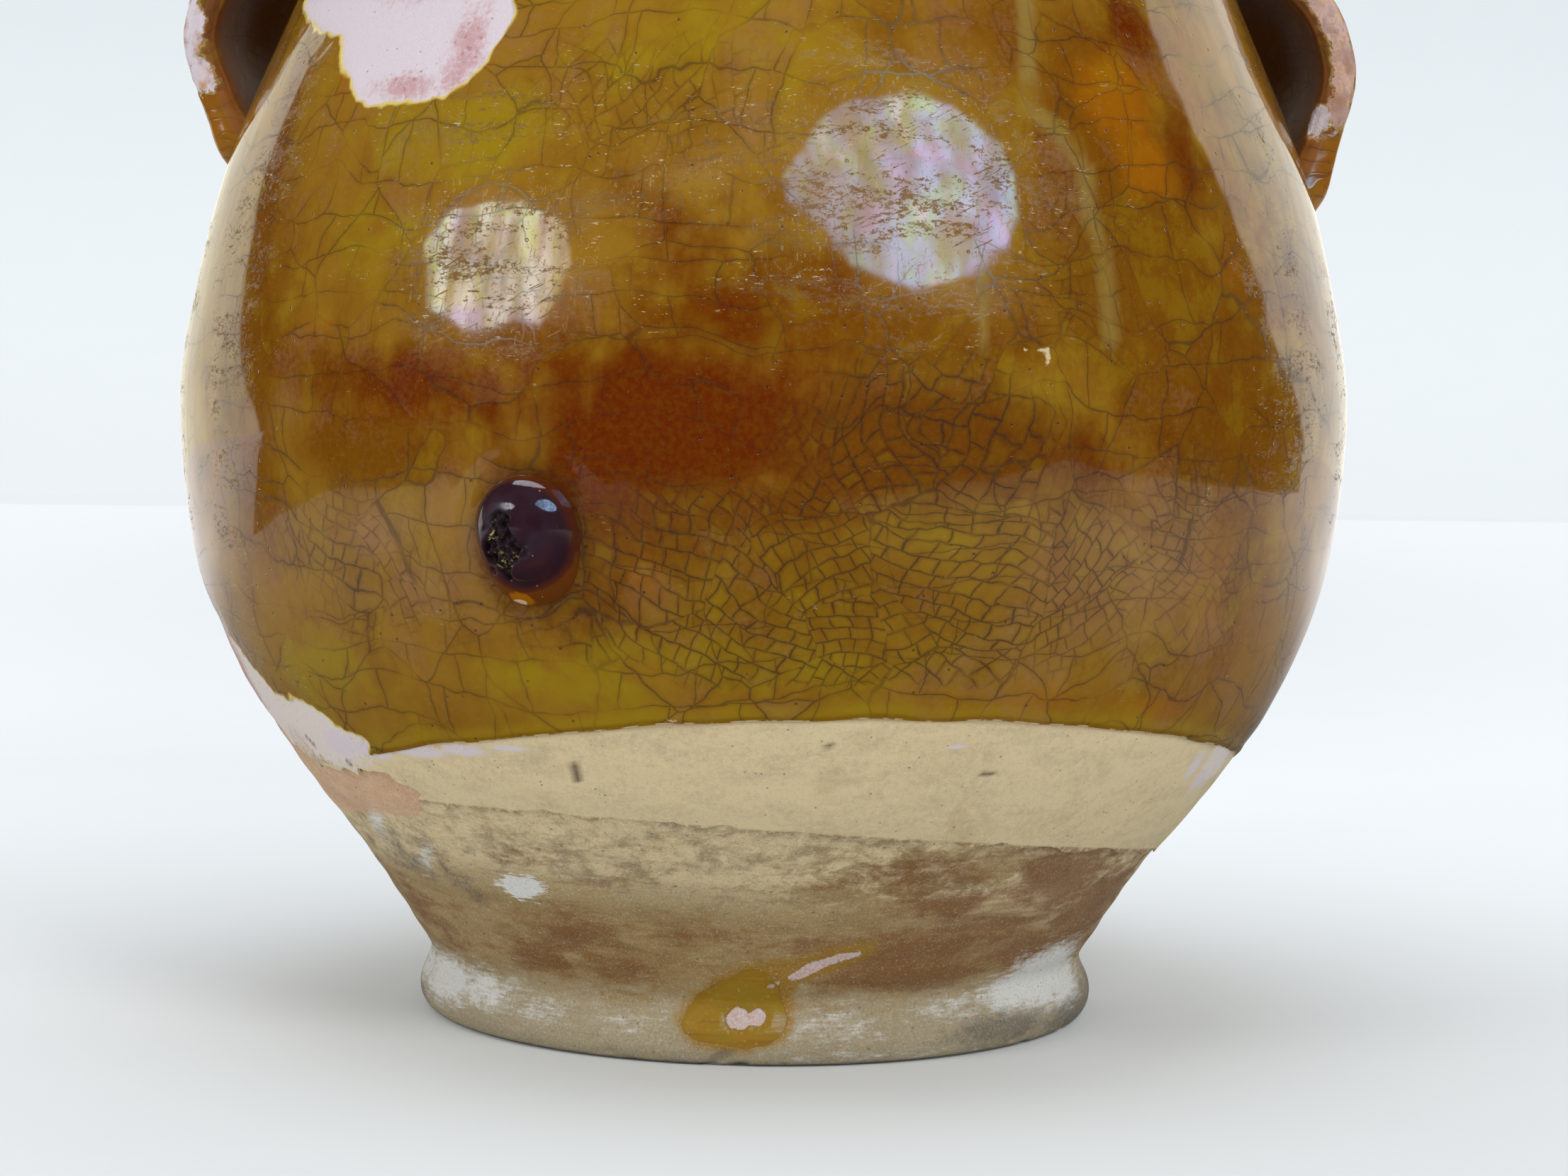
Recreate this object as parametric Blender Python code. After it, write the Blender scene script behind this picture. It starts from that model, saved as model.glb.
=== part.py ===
"""Confit pot: a wheel-thrown earthenware preserving jar with two strap handles, slipped and glazed.

Lengths are metres. The pot stands on z = 0, its axis is +Z and its front faces -Y. Azimuths are degrees
from the front, positive towards +X, and a point at one is (r sin a, -r cos a).
"""
import math

import bmesh
import bpy
from mathutils import Matrix, Vector

# Driving dimensions: outside of the thrown clay, from the ground up
STANDING_RADIUS = 0.0672
FOOT_RADIUS = 0.0702
FOOT_ROLL_HEIGHT = 0.0045
WAIST_RADIUS = 0.0678
WAIST_RISE = 0.0080
BELLY_RADIUS = 0.1183
BELLY_RISE = 0.1105
NECK_RADIUS = 0.0838
NECK_RISE = 0.1100
LIP_RADIUS = 0.0938
LIP_RISE = 0.0172
RIM_RISE = 0.0048

# Driving dimensions: inside of the thrown clay, and its rim and underside
WALL_THICKNESS = 0.0075
FLOOR_THICKNESS = 0.0110
FLOOR_RADIUS = 0.0520
LIP_ROLL_WIDTH = 0.0048
RIM_LAND_WIDTH = 0.0040
STANDING_RING_WIDTH = 0.0120
UNDERCUT_DEPTH = 0.0015
UNDERCUT_SLOPE_WIDTH = 0.0030

# Driving dimensions: the fired coats, which lie on each other with a small gap
SLIP_THICKNESS = 0.0005
GLAZE_THICKNESS = 0.0006
LINING_THICKNESS = 0.0006
COAT_GAP = 0.0003
GLAZE_LINE_HEIGHT = 0.0559
GLAZE_LINE_TILT = 0.0110
GLAZE_LINE_BOW = 0.0051
GLAZE_LINE_AZIMUTH = 10.0
SLIP_LINE_HEIGHT = 0.0395
SLIP_LINE_TILT = 0.0115
SLIP_LINE_AZIMUTH = -30.0

# Driving dimensions: the strap handles
HANDLE_AZIMUTH = 98.0
HANDLE_WIDTH = 0.0420
HANDLE_THICKNESS = 0.0075
HANDLE_ROOT_DEPTH = 0.0110
LEFT_HANDLE_NECK_DROP = 0.0097
LEFT_HANDLE_SPAN = 0.0458
LEFT_HANDLE_GAP = 0.0125
RIGHT_HANDLE_NECK_DROP = 0.0120
RIGHT_HANDLE_SPAN = 0.0490
RIGHT_HANDLE_GAP = 0.0108

# Driving dimensions: the fused lump, and the run of glaze on the foot
BOSS_AZIMUTH = -20.5
BOSS_HEIGHT = 0.1030
BOSS_WIDTH = 0.0200
BOSS_LENGTH = 0.0240
BOSS_STANDOUT = 0.0080
BOSS_PIT_RADIUS = 0.0042
RUN_AZIMUTH = -4.0
RUN_HEIGHT = 0.0122
RUN_WIDTH = 0.0210
RUN_LENGTH = 0.0170
RUN_THICKNESS = 0.0008

# Driving dimensions: the places where glaze and slip have flaked off
SHOULDER_FLAKE_AZIMUTH = -51.0
SHOULDER_FLAKE_HEIGHT = 0.1985
SHOULDER_FLAKE_WIDTH = 0.0800
SHOULDER_FLAKE_LENGTH = 0.0350
SIDE_FLAKE_AZIMUTH = -76.0
SIDE_FLAKE_HEIGHT = 0.0700
SIDE_FLAKE_WIDTH = 0.1000
SIDE_FLAKE_LENGTH = 0.0300
SLIP_FLAKE_AZIMUTH = -70.0
SLIP_FLAKE_HEIGHT = 0.0620
SLIP_FLAKE_WIDTH = 0.0960
SLIP_FLAKE_LENGTH = 0.0400

# Counts of facets
SEGMENTS = 40
WALL_STEPS = 2
HANDLE_STEPS = 3
ROLL_STEPS = 3
LUMP_SUBDIVISIONS = 3
SHARP_EDGE_DEGREES = 40

# Wall from waist to belly and from belly to neck: (share of the rise, share of the change in radius)
lower_wall_shares = ((0.19, 0.27), (0.42, 0.645), (0.69, 0.912))
upper_wall_shares = ((0.19, 0.07), (0.46, 0.285), (0.78, 0.715))
# Underside of the lip, from the neck, and the inside of the lip, from the throat
lip_under_shares = ((0.22, 0.07), (0.52, 0.42), (0.80, 0.86))
lip_inner_shares = ((0.27, 0.10), (0.61, 0.45), (0.89, 0.82))
# Turn from the inner floor into the wall
floor_turn_shares = ((0.26, 0.08), (0.52, 0.29))
# Strap's centre line: (share of the span, share of the reach from that end's joint to the widest point)
strap_lower_shares = ((0.25, 0.66),)
strap_apex_share = 0.47
strap_upper_shares = ((0.69, 0.89), (0.84, 0.67), (0.95, 0.385))
# Strap's section, hollowed outside between two ridges: (share of half the width, share of half the thickness)
strap_section_shares = (
    (-0.84, 1.00), (-0.45, 0.80), (0.00, 0.72), (0.45, 0.80), (0.84, 1.00), (0.97, 0.72), (1.00, 0.00),
    (0.95, -0.72), (0.80, -1.00), (0.00, -0.94), (-0.80, -1.00), (-0.95, -0.72), (-1.00, 0.00),
    (-0.97, 0.72),
)
root_spread_share = 0.14
root_thickening_share = 0.20
# Outlines of the losses, the run and the lump's pit: (share of half the width, share of half the length)
shoulder_flake_shares = (
    (-0.92, 0.34), (-0.80, 0.08), (-0.42, -0.08), (-0.13, -0.26), (-0.10, -0.52), (0.06, -0.66), (0.30, -0.99),
    (0.54, -0.93), (0.78, -0.94), (0.95, -0.58), (1.00, -0.05), (0.85, 0.54), (0.38, 0.94), (-0.30, 1.00),
    (-0.75, 0.80),
)
side_flake_shares = (
    (1.00, -1.00), (0.98, -0.54), (0.78, -0.32), (0.60, -0.24), (0.45, -0.14), (0.34, 0.21), (0.08, 0.72),
    (-0.30, 0.95), (-0.72, 0.70), (-0.97, 0.00), (-1.00, -1.00),
)
slip_flake_shares = (
    (1.00, -1.05), (1.00, -0.50), (0.87, -0.20), (0.64, -0.08), (0.33, -0.10), (0.15, 0.25), (0.00, 0.68),
    (-0.33, 0.90), (-0.72, 0.75), (-0.96, 0.30), (-1.00, -1.05),
)
run_shares = (
    (-0.95, -0.45), (-0.55, -0.92), (0.05, -1.00), (0.45, -0.80), (0.62, -0.30), (0.50, 0.20), (0.95, 0.85),
    (0.60, 1.00), (0.00, 0.72), (-0.45, 0.35), (-0.85, 0.00),
)
pit_place_shares = (-0.42, -0.38)
boss_sink_share = 0.30

# Derived places
WAIST_HEIGHT = FOOT_ROLL_HEIGHT + WAIST_RISE
BELLY_HEIGHT = WAIST_HEIGHT + BELLY_RISE
NECK_HEIGHT = BELLY_HEIGHT + NECK_RISE
LIP_HEIGHT = NECK_HEIGHT + LIP_RISE
TOP_HEIGHT = LIP_HEIGHT + RIM_RISE
LAND_OUTER_RADIUS = LIP_RADIUS - LIP_ROLL_WIDTH
LAND_INNER_RADIUS = LAND_OUTER_RADIUS - RIM_LAND_WIDTH
THROAT_RADIUS = NECK_RADIUS - WALL_THICKNESS
SLIP_OUTSIDE = COAT_GAP + SLIP_THICKNESS
GLAZE_INSIDE = SLIP_OUTSIDE + COAT_GAP
GLAZE_OUTSIDE = GLAZE_INSIDE + GLAZE_THICKNESS
WELD_DISTANCE = COAT_GAP / 100


def between(start, end, shares):
    """A (radius, height) point by its shares of the way from start to end: (height share, radius share)."""
    height_share, radius_share = shares
    return Vector((start.x + (end.x - start.x) * radius_share, start.y + (end.y - start.y) * height_share))


def curve_through(points, steps):
    """Points of a smooth curve through the given ones, so many steps to each stretch."""
    first = points[0] * 2 - points[1]
    last = points[-1] * 2 - points[-2]
    ring = [first, *points, last]
    out = []
    for a, b, c, d in zip(ring, ring[1:], ring[2:], ring[3:]):
        for i in range(steps):
            t = i / steps
            bend = (a * 2 - b * 5 + c * 4 - d) * t**2 + (b * 3 - a - c * 3 + d) * t**3
            out.append((b * 2 + (c - a) * t + bend) / 2)
    return out + [points[-1]]


def offset(points, distance):
    """The open (radius, height) line moved sideways: to its left, seen along its run."""
    out = []
    for i, point in enumerate(points):
        along = points[min(i + 1, len(points) - 1)] - points[max(i - 1, 0)]
        side = Vector((-along.y, along.x)).normalized()
        out.append(point + side * distance)
    return out


# Turned profiles

def lip_roll():
    """From the rim's flat land over the rounded lip to its widest line."""
    quarter = [math.pi / 2 * i / ROLL_STEPS for i in range(ROLL_STEPS + 1)]
    return [
        Vector((LAND_OUTER_RADIUS + LIP_ROLL_WIDTH * math.sin(t), LIP_HEIGHT + RIM_RISE * math.cos(t)))
        for t in quarter
    ]


def wall_keys():
    """The wall's main points, from the neck down to the waist."""
    neck = Vector((NECK_RADIUS, NECK_HEIGHT))
    belly = Vector((BELLY_RADIUS, BELLY_HEIGHT))
    waist = Vector((WAIST_RADIUS, WAIST_HEIGHT))
    upper = [between(belly, neck, shares) for shares in reversed(upper_wall_shares)]
    lower = [between(waist, belly, shares) for shares in reversed(lower_wall_shares)]
    return [neck, *upper, belly, *lower, waist]


def coated_side():
    """The outside that slip and glaze can cover, from the lip's roll down to the waist."""
    lip = Vector((LIP_RADIUS, LIP_HEIGHT))
    neck = Vector((NECK_RADIUS, NECK_HEIGHT))
    under = [between(neck, lip, shares) for shares in reversed(lip_under_shares)]
    return lip_roll()[-2:] + under + curve_through(wall_keys(), WALL_STEPS)


def foot_side():
    """The foot's roll, from just under the waist to the edge that it stands on."""
    cove = [math.pi * i / (ROLL_STEPS + 1) for i in range(1, ROLL_STEPS + 1)]
    swell = FOOT_RADIUS - WAIST_RADIUS
    hollow = [
        Vector((FOOT_RADIUS - swell * (1 + math.cos(t)) / 2, WAIST_HEIGHT - WAIST_RISE * t / math.pi))
        for t in cove
    ]
    quarter = [math.pi / 2 * i / ROLL_STEPS for i in range(ROLL_STEPS + 1)]
    tuck = FOOT_RADIUS - STANDING_RADIUS
    roll = [
        Vector((STANDING_RADIUS + tuck * math.cos(t), FOOT_ROLL_HEIGHT * (1 - math.sin(t)))) for t in quarter
    ]
    return hollow + roll


def clay_outside():
    """The whole outside, from the rim's land to the standing edge."""
    return lip_roll()[:-2] + coated_side() + foot_side()


def clay_inside():
    """The whole inside, from the middle of the floor up to the rim's land."""
    wall = offset(wall_keys()[:-1], -WALL_THICKNESS)
    wall.reverse()
    floor_edge = Vector((FLOOR_RADIUS, FLOOR_THICKNESS))
    turn = [between(floor_edge, wall[0], (rise, run)) for run, rise in floor_turn_shares]
    throat = Vector((THROAT_RADIUS, NECK_HEIGHT))
    mouth = Vector((LAND_INNER_RADIUS, TOP_HEIGHT))
    lip = [between(throat, mouth, shares) for shares in lip_inner_shares]
    return [Vector((0, FLOOR_THICKNESS)), floor_edge, *turn, *wall[:-1], throat, *lip, mouth]


def underside():
    """The standing ring's flat and the shallow hollow inside it."""
    ring_inner = STANDING_RADIUS - STANDING_RING_WIDTH
    return [
        Vector((ring_inner, 0)),
        Vector((ring_inner - UNDERCUT_SLOPE_WIDTH, UNDERCUT_DEPTH)),
        Vector((0, UNDERCUT_DEPTH)),
    ]


def clay_radius(height):
    """The clay's outer radius at a height on the coated side."""
    side = coated_side()
    for above, below in zip(side, side[1:]):
        if below.y <= height <= above.y:
            share = (height - below.y) / (above.y - below.y)
            return below.x + (above.x - below.x) * share
    return WAIST_RADIUS


# Objects

def clear_scene():
    for item in list(bpy.data.objects):
        bpy.data.objects.remove(item, do_unlink=True)


def finish(name, color, roughness):
    """A material for one sub-part."""
    made = bpy.data.materials.new(name)
    made.use_nodes = True
    shader = made.node_tree.nodes["Principled BSDF"]
    shader.inputs["Base Color"].default_value = (*color, 1)
    shader.inputs["Roughness"].default_value = roughness
    shader.inputs["Metallic"].default_value = 0
    return made


def add_object(name, bm, material=None):
    """An object from a bmesh: a sub-part with its material, or a cutter, which isn't rendered."""
    bmesh.ops.recalc_face_normals(bm, faces=bm.faces)
    mesh = bpy.data.meshes.new(name)
    bm.to_mesh(mesh)
    bm.free()
    mesh.shade_smooth()
    mesh.set_sharp_from_angle(angle=math.radians(SHARP_EDGE_DEGREES))
    made = bpy.data.objects.new(name, mesh)
    bpy.context.scene.collection.objects.link(made)
    if material:
        mesh.materials.append(material)
    else:
        made.hide_render = True
        made.display_type = "WIRE"
    return made


def turned(points, closed):
    """A bmesh turned about +Z from (radius, height) points; a closed outline makes a ring."""
    bm = bmesh.new()
    verts = [bm.verts.new((p.x, 0, p.y)) for p in points]
    pairs = list(zip(verts, verts[1:]))
    if closed:
        pairs.append((verts[-1], verts[0]))
    edges = [bm.edges.new(pair) for pair in pairs]
    bmesh.ops.spin(
        bm, geom=verts + edges, cent=(0, 0, 0), axis=(0, 0, 1), angle=math.tau, steps=SEGMENTS, use_merge=True
    )
    bmesh.ops.remove_doubles(bm, verts=bm.verts, dist=WELD_DISTANCE)
    return bm


def coat(side, inner_offset, outer_offset):
    """A bmesh of a thin coat on a turned side, between two distances outwards from it."""
    outer = offset(side, outer_offset)
    inner = offset(side, inner_offset)
    inner.reverse()
    return turned(outer + inner, closed=True)


def filled(clearance):
    """A bmesh of the pot's outer form, solid to the axis and grown by a clearance, to cut seats with."""
    side = offset(coated_side(), clearance)
    top = Vector((0, side[0].y))
    bottom = Vector((0, side[-1].y))
    return turned([top, *side, bottom], closed=False)


def placed(azimuth):
    """The turn that brings local right, outward and up to an azimuth on the pot."""
    angle = math.radians(azimuth)
    right = Vector((math.cos(angle), math.sin(angle), 0))
    outward = Vector((math.sin(angle), -math.cos(angle), 0))
    return Matrix((right, outward, Vector((0, 0, 1)))).transposed().to_4x4()


def prism(shares, azimuth, height, width, length, inner_radius, outer_radius):
    """A bmesh of an outline pushed straight outwards through the wall at an azimuth."""
    bm = bmesh.new()
    loop = [bm.verts.new((x * width / 2, inner_radius, height + z * length / 2)) for x, z in shares]
    base = bm.faces.new(loop)
    pushed = bmesh.ops.extrude_face_region(bm, geom=[base])
    moved = [item for item in pushed["geom"] if isinstance(item, bmesh.types.BMVert)]
    bmesh.ops.translate(bm, verts=moved, vec=(0, outer_radius - inner_radius, 0))
    bmesh.ops.transform(bm, matrix=placed(azimuth), verts=bm.verts)
    return bm


def below_line(line):
    """A bmesh that fills the space round the pot below a line, whose height is a function of azimuth."""
    bm = bmesh.new()
    inner_radius = STANDING_RADIUS / 2
    outer_radius = BELLY_RADIUS + STANDING_RADIUS
    floor = -FLOOR_THICKNESS
    rings = []
    for i in range(SEGMENTS):
        azimuth = 360 * (i + 0.5) / SEGMENTS
        turn = placed(azimuth)
        top = line(azimuth)
        corners = ((inner_radius, floor), (outer_radius, floor), (outer_radius, top), (inner_radius, top))
        rings.append([bm.verts.new(turn @ Vector((0, radius, height))) for radius, height in corners])
    for ring, following in zip(rings, rings[1:] + rings[:1]):
        for k in range(4):
            m = (k + 1) % 4
            bm.faces.new((ring[k], ring[m], following[m], following[k]))
    return bm


def glaze_line(azimuth):
    """The height at which the outer glaze ends."""
    turn = math.radians(azimuth - GLAZE_LINE_AZIMUTH)
    return GLAZE_LINE_HEIGHT + GLAZE_LINE_TILT * math.cos(turn) + GLAZE_LINE_BOW * math.cos(2 * turn)


def slip_line(azimuth):
    """The height at which the slip ends."""
    return SLIP_LINE_HEIGHT + SLIP_LINE_TILT * math.cos(math.radians(azimuth - SLIP_LINE_AZIMUTH))


def change(target, cutter, operation="DIFFERENCE"):
    """A boolean of one object by another."""
    step = target.modifiers.new(cutter.name, "BOOLEAN")
    step.operation = operation
    step.solver = "EXACT"
    step.object = cutter


# Sub-parts

def strap_line(neck_drop, span, gap):
    """The strap's centre line as (radius, height) points, from inside the wall to inside the neck."""
    upper_height = NECK_HEIGHT - neck_drop
    lower_height = upper_height - span
    lower = Vector((clay_radius(lower_height), lower_height))
    upper = Vector((clay_radius(upper_height), upper_height))
    apex_height = lower_height + span * strap_apex_share
    reach = clay_radius(apex_height) + GLAZE_OUTSIDE + gap + HANDLE_THICKNESS / 2
    low_run = [
        Vector((lower.x + (reach - lower.x) * out, lower_height + span * rise))
        for rise, out in strap_lower_shares
    ]
    high_run = [
        Vector((upper.x + (reach - upper.x) * out, lower_height + span * rise))
        for rise, out in strap_upper_shares
    ]
    into_wall = (lower - low_run[0]).normalized() * HANDLE_ROOT_DEPTH
    into_neck = Vector((-HANDLE_ROOT_DEPTH, 0))
    keys = [
        lower + into_wall + into_neck / 2, lower, *low_run, Vector((reach, apex_height)), *high_run, upper,
        upper + into_neck,
    ]
    return curve_through(keys, HANDLE_STEPS)


def strap(side, neck_drop, span, gap, clearance=0.0):
    """A bmesh of one strap handle, grown by a clearance where it cuts its own window."""
    line = strap_line(neck_drop, span, gap)
    turn = placed(side * HANDLE_AZIMUTH)
    bm = bmesh.new()
    rings = []
    for i, point in enumerate(line):
        along = line[min(i + 1, len(line) - 1)] - line[max(i - 1, 0)]
        out = Vector((along.y, -along.x)).normalized()
        to_end = abs(2 * i / (len(line) - 1) - 1)
        half_width = HANDLE_WIDTH / 2 * (1 + root_spread_share * to_end**3) + clearance
        half_thickness = HANDLE_THICKNESS / 2 * (1 + root_thickening_share * to_end**4) + clearance
        ring = []
        for across, through in strap_section_shares:
            spot = point + out * half_thickness * through
            ring.append(bm.verts.new(turn @ Vector((across * half_width, spot.x, spot.y))))
        rings.append(ring)
    for ring, following in zip(rings, rings[1:]):
        for k in range(len(ring)):
            m = (k + 1) % len(ring)
            bm.faces.new((ring[k], ring[m], following[m], following[k]))
    bm.faces.new(rings[0])
    bm.faces.new(rings[-1])
    return bm


def lump(width, length, depth, azimuth, radius, height):
    """A bmesh of a rounded lump centred at a radius and height on the pot."""
    bm = bmesh.new()
    bmesh.ops.create_icosphere(bm, subdivisions=LUMP_SUBDIVISIONS, radius=1)
    bmesh.ops.scale(bm, vec=(width / 2, depth / 2, length / 2), verts=bm.verts)
    bmesh.ops.translate(bm, vec=(0, radius, height), verts=bm.verts)
    bmesh.ops.transform(bm, matrix=placed(azimuth), verts=bm.verts)
    return bm


def build_body():
    profile = clay_inside() + clay_outside() + underside()
    clay = finish("fired_clay", (0.42, 0.24, 0.13), 0.85)
    add_object("thrown_body", turned(profile, closed=False), clay)


def build_handles(seat):
    """Both handles, cut to sit on the clay; returns the windows that they need in the coats."""
    glazed = finish("handle_glaze", (0.36, 0.20, 0.03), 0.25)
    places = {
        "left_handle": (-1, LEFT_HANDLE_NECK_DROP, LEFT_HANDLE_SPAN, LEFT_HANDLE_GAP),
        "right_handle": (1, RIGHT_HANDLE_NECK_DROP, RIGHT_HANDLE_SPAN, RIGHT_HANDLE_GAP),
    }
    windows = []
    for name, place in places.items():
        handle = add_object(name, strap(*place), glazed)
        change(handle, seat)
        windows.append(add_object(name + "_window", strap(*place, clearance=COAT_GAP)))
    return windows


def build_slip(windows):
    white = finish("white_slip", (0.70, 0.62, 0.50), 0.75)
    slip = add_object("slip_coat", coat(coated_side(), COAT_GAP, SLIP_OUTSIDE), white)
    change(slip, add_object("slip_line", below_line(slip_line)))
    lost = prism(
        slip_flake_shares, SLIP_FLAKE_AZIMUTH, SLIP_FLAKE_HEIGHT, SLIP_FLAKE_WIDTH, SLIP_FLAKE_LENGTH,
        WAIST_RADIUS / 2, BELLY_RADIUS + WAIST_RADIUS,
    )
    change(slip, add_object("slip_flake", lost))
    for window in windows:
        change(slip, window)


def build_outer_glaze(windows):
    amber = finish("amber_glaze", (0.30, 0.14, 0.01), 0.12)
    glaze = add_object("outer_glaze", coat(coated_side(), GLAZE_INSIDE, GLAZE_OUTSIDE), amber)
    change(glaze, add_object("glaze_line", below_line(glaze_line)))
    losses = {
        "shoulder_flake": (
            shoulder_flake_shares, SHOULDER_FLAKE_AZIMUTH, SHOULDER_FLAKE_HEIGHT, SHOULDER_FLAKE_WIDTH,
            SHOULDER_FLAKE_LENGTH,
        ),
        "side_flake": (
            side_flake_shares, SIDE_FLAKE_AZIMUTH, SIDE_FLAKE_HEIGHT, SIDE_FLAKE_WIDTH, SIDE_FLAKE_LENGTH,
        ),
    }
    for name, place in losses.items():
        change(glaze, add_object(name, prism(*place, WAIST_RADIUS / 2, BELLY_RADIUS + WAIST_RADIUS)))
    for window in windows:
        change(glaze, window)


def build_inner_glaze():
    """The lining, from just inside the lip down over the floor, lying on the clay's inner side."""
    side = clay_inside()[:-1]
    lower = offset(side, COAT_GAP)
    upper = offset(side, COAT_GAP + LINING_THICKNESS)
    lower[0].x = 0
    upper[0].x = 0
    lower.reverse()
    lining = finish("lining_glaze", (0.33, 0.17, 0.03), 0.2)
    add_object("inner_glaze", turned(upper + lower, closed=False), lining)


def build_boss():
    """The fused lump: a dome seated on the glaze, with a broken pit low on its left side."""
    surface = clay_radius(BOSS_HEIGHT) + GLAZE_OUTSIDE
    sink = BOSS_STANDOUT * boss_sink_share
    depth = 2 * (BOSS_STANDOUT + sink)
    dome = lump(BOSS_WIDTH, BOSS_LENGTH, depth, BOSS_AZIMUTH, surface - sink, BOSS_HEIGHT)
    boss = add_object("glaze_boss", dome, finish("dark_glaze", (0.035, 0.015, 0.03), 0.08))
    change(boss, add_object("boss_seat", filled(GLAZE_OUTSIDE + COAT_GAP)))
    across, up = pit_place_shares
    pit_angle = math.degrees(across * BOSS_WIDTH / 2 / surface)
    pit_width = 2 * BOSS_PIT_RADIUS
    pit = lump(
        pit_width, pit_width, pit_width, BOSS_AZIMUTH + pit_angle, surface + BOSS_STANDOUT,
        BOSS_HEIGHT + up * BOSS_LENGTH / 2,
    )
    change(boss, add_object("boss_pit", pit))


def build_foot_run():
    """The run of glaze on the front of the foot: a thin coat on the clay, cut to the puddle's outline."""
    wall = curve_through(wall_keys(), WALL_STEPS)
    side = [point for point in wall if point.y < WAIST_HEIGHT + RUN_LENGTH] + foot_side()[:-1]
    amber = finish("run_glaze", (0.28, 0.15, 0.02), 0.15)
    run = add_object("foot_glaze_run", coat(side, COAT_GAP, COAT_GAP + RUN_THICKNESS), amber)
    puddle = prism(
        run_shares, RUN_AZIMUTH, RUN_HEIGHT, RUN_WIDTH, RUN_LENGTH, WAIST_RADIUS / 2, BELLY_RADIUS
    )
    change(run, add_object("run_outline", puddle), operation="INTERSECT")


def main():
    clear_scene()
    build_body()
    seat = add_object("clay_seat", filled(COAT_GAP))
    windows = build_handles(seat)
    build_slip(windows)
    build_outer_glaze(windows)
    build_inner_glaze()
    build_boss()
    build_foot_run()


main()
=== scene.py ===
"""Confit pot, dressed: thrown clay, slip, crazed lead glaze, two strap handles, glass lump and glaze run.

Lengths are metres in the sizes and millimetres in the tables of places. The pot's axis is +Z and its front
faces -Y. Azimuths are degrees from the front, positive towards +X.
"""
import math

import bpy
import numpy as np
from mathutils import Matrix


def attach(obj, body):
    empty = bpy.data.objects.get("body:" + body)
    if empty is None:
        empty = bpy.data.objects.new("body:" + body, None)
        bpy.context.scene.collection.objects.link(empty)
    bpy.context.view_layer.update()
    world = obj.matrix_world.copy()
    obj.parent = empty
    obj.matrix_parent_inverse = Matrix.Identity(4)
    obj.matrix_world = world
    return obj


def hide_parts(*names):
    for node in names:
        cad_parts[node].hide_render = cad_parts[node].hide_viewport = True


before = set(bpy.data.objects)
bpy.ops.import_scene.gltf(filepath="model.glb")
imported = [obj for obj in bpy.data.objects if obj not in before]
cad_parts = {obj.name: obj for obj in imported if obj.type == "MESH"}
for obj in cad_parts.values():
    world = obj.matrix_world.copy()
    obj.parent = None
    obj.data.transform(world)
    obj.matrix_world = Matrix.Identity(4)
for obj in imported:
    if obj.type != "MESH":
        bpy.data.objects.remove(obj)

bl_info = {
    "name": "Confit pot",
    "version": (1, 0, 0),
    "blender": (4, 5, 0),
    "location": "3D view, sidebar, Pot",
    "description": "Makes a glazed confit pot over its packed solids",
    "category": "Add Mesh",
}

MM = 0.001

# The weathered skins on the glaze, in nanometres, and the craze: its bends (noise scale, detail, reach) and
# its nets (cell width, cell height, reach of the lines), in millimetres
FILM_THICKNESSES = (185, 400)
FILM_IOR = 1.50
CRAZE_RADIUS = 115
CRAZE_BENDS = ((0.026, 1, 22), (0.09, 0, 4.5), (0.36, 0, 1.1))
PLATE_SIZE = 18
FINE_CRAZE = (3.4, 3.3, 0.8)
LONG_CRAZE = (15, 8, 1.1)

# Shares of the thrown wall's curve, as in the part's source: (share of the rise, share of the radius)
LOWER_WALL_SHARES = (
    (0.19, 0.27), (0.42, 0.645), (0.69, 0.912),
)
UPPER_WALL_SHARES = (
    (0.19, 0.07), (0.46, 0.285), (0.78, 0.715),
)
LIP_UNDER_SHARES = (
    (0.22, 0.07), (0.52, 0.42), (0.8, 0.86),
)
LIP_INNER_SHARES = (
    (0.27, 0.1), (0.61, 0.45), (0.89, 0.82),
)
FLOOR_TURN_SHARES = (
    (0.26, 0.08), (0.52, 0.29),
)
STRAP_LOWER_SHARES = (
    (0.25, 0.66),
)
STRAP_APEX_SHARE = 0.47
STRAP_UPPER_SHARES = (
    (0.69, 0.89), (0.84, 0.67), (0.95, 0.385),
)
STRAP_SECTION_SHARES = (
    (-0.84, 1), (-0.45, 0.8), (0, 0.72), (0.45, 0.8), (0.84, 1), (0.97, 0.72), (1, 0), (0.95, -0.72),
    (0.8, -1), (0, -0.94), (-0.8, -1), (-0.95, -0.72), (-1, 0), (-0.97, 0.72),
)
ROOT_SPREAD_SHARE = 0.14
ROOT_THICKENING_SHARE = 0.20

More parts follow.
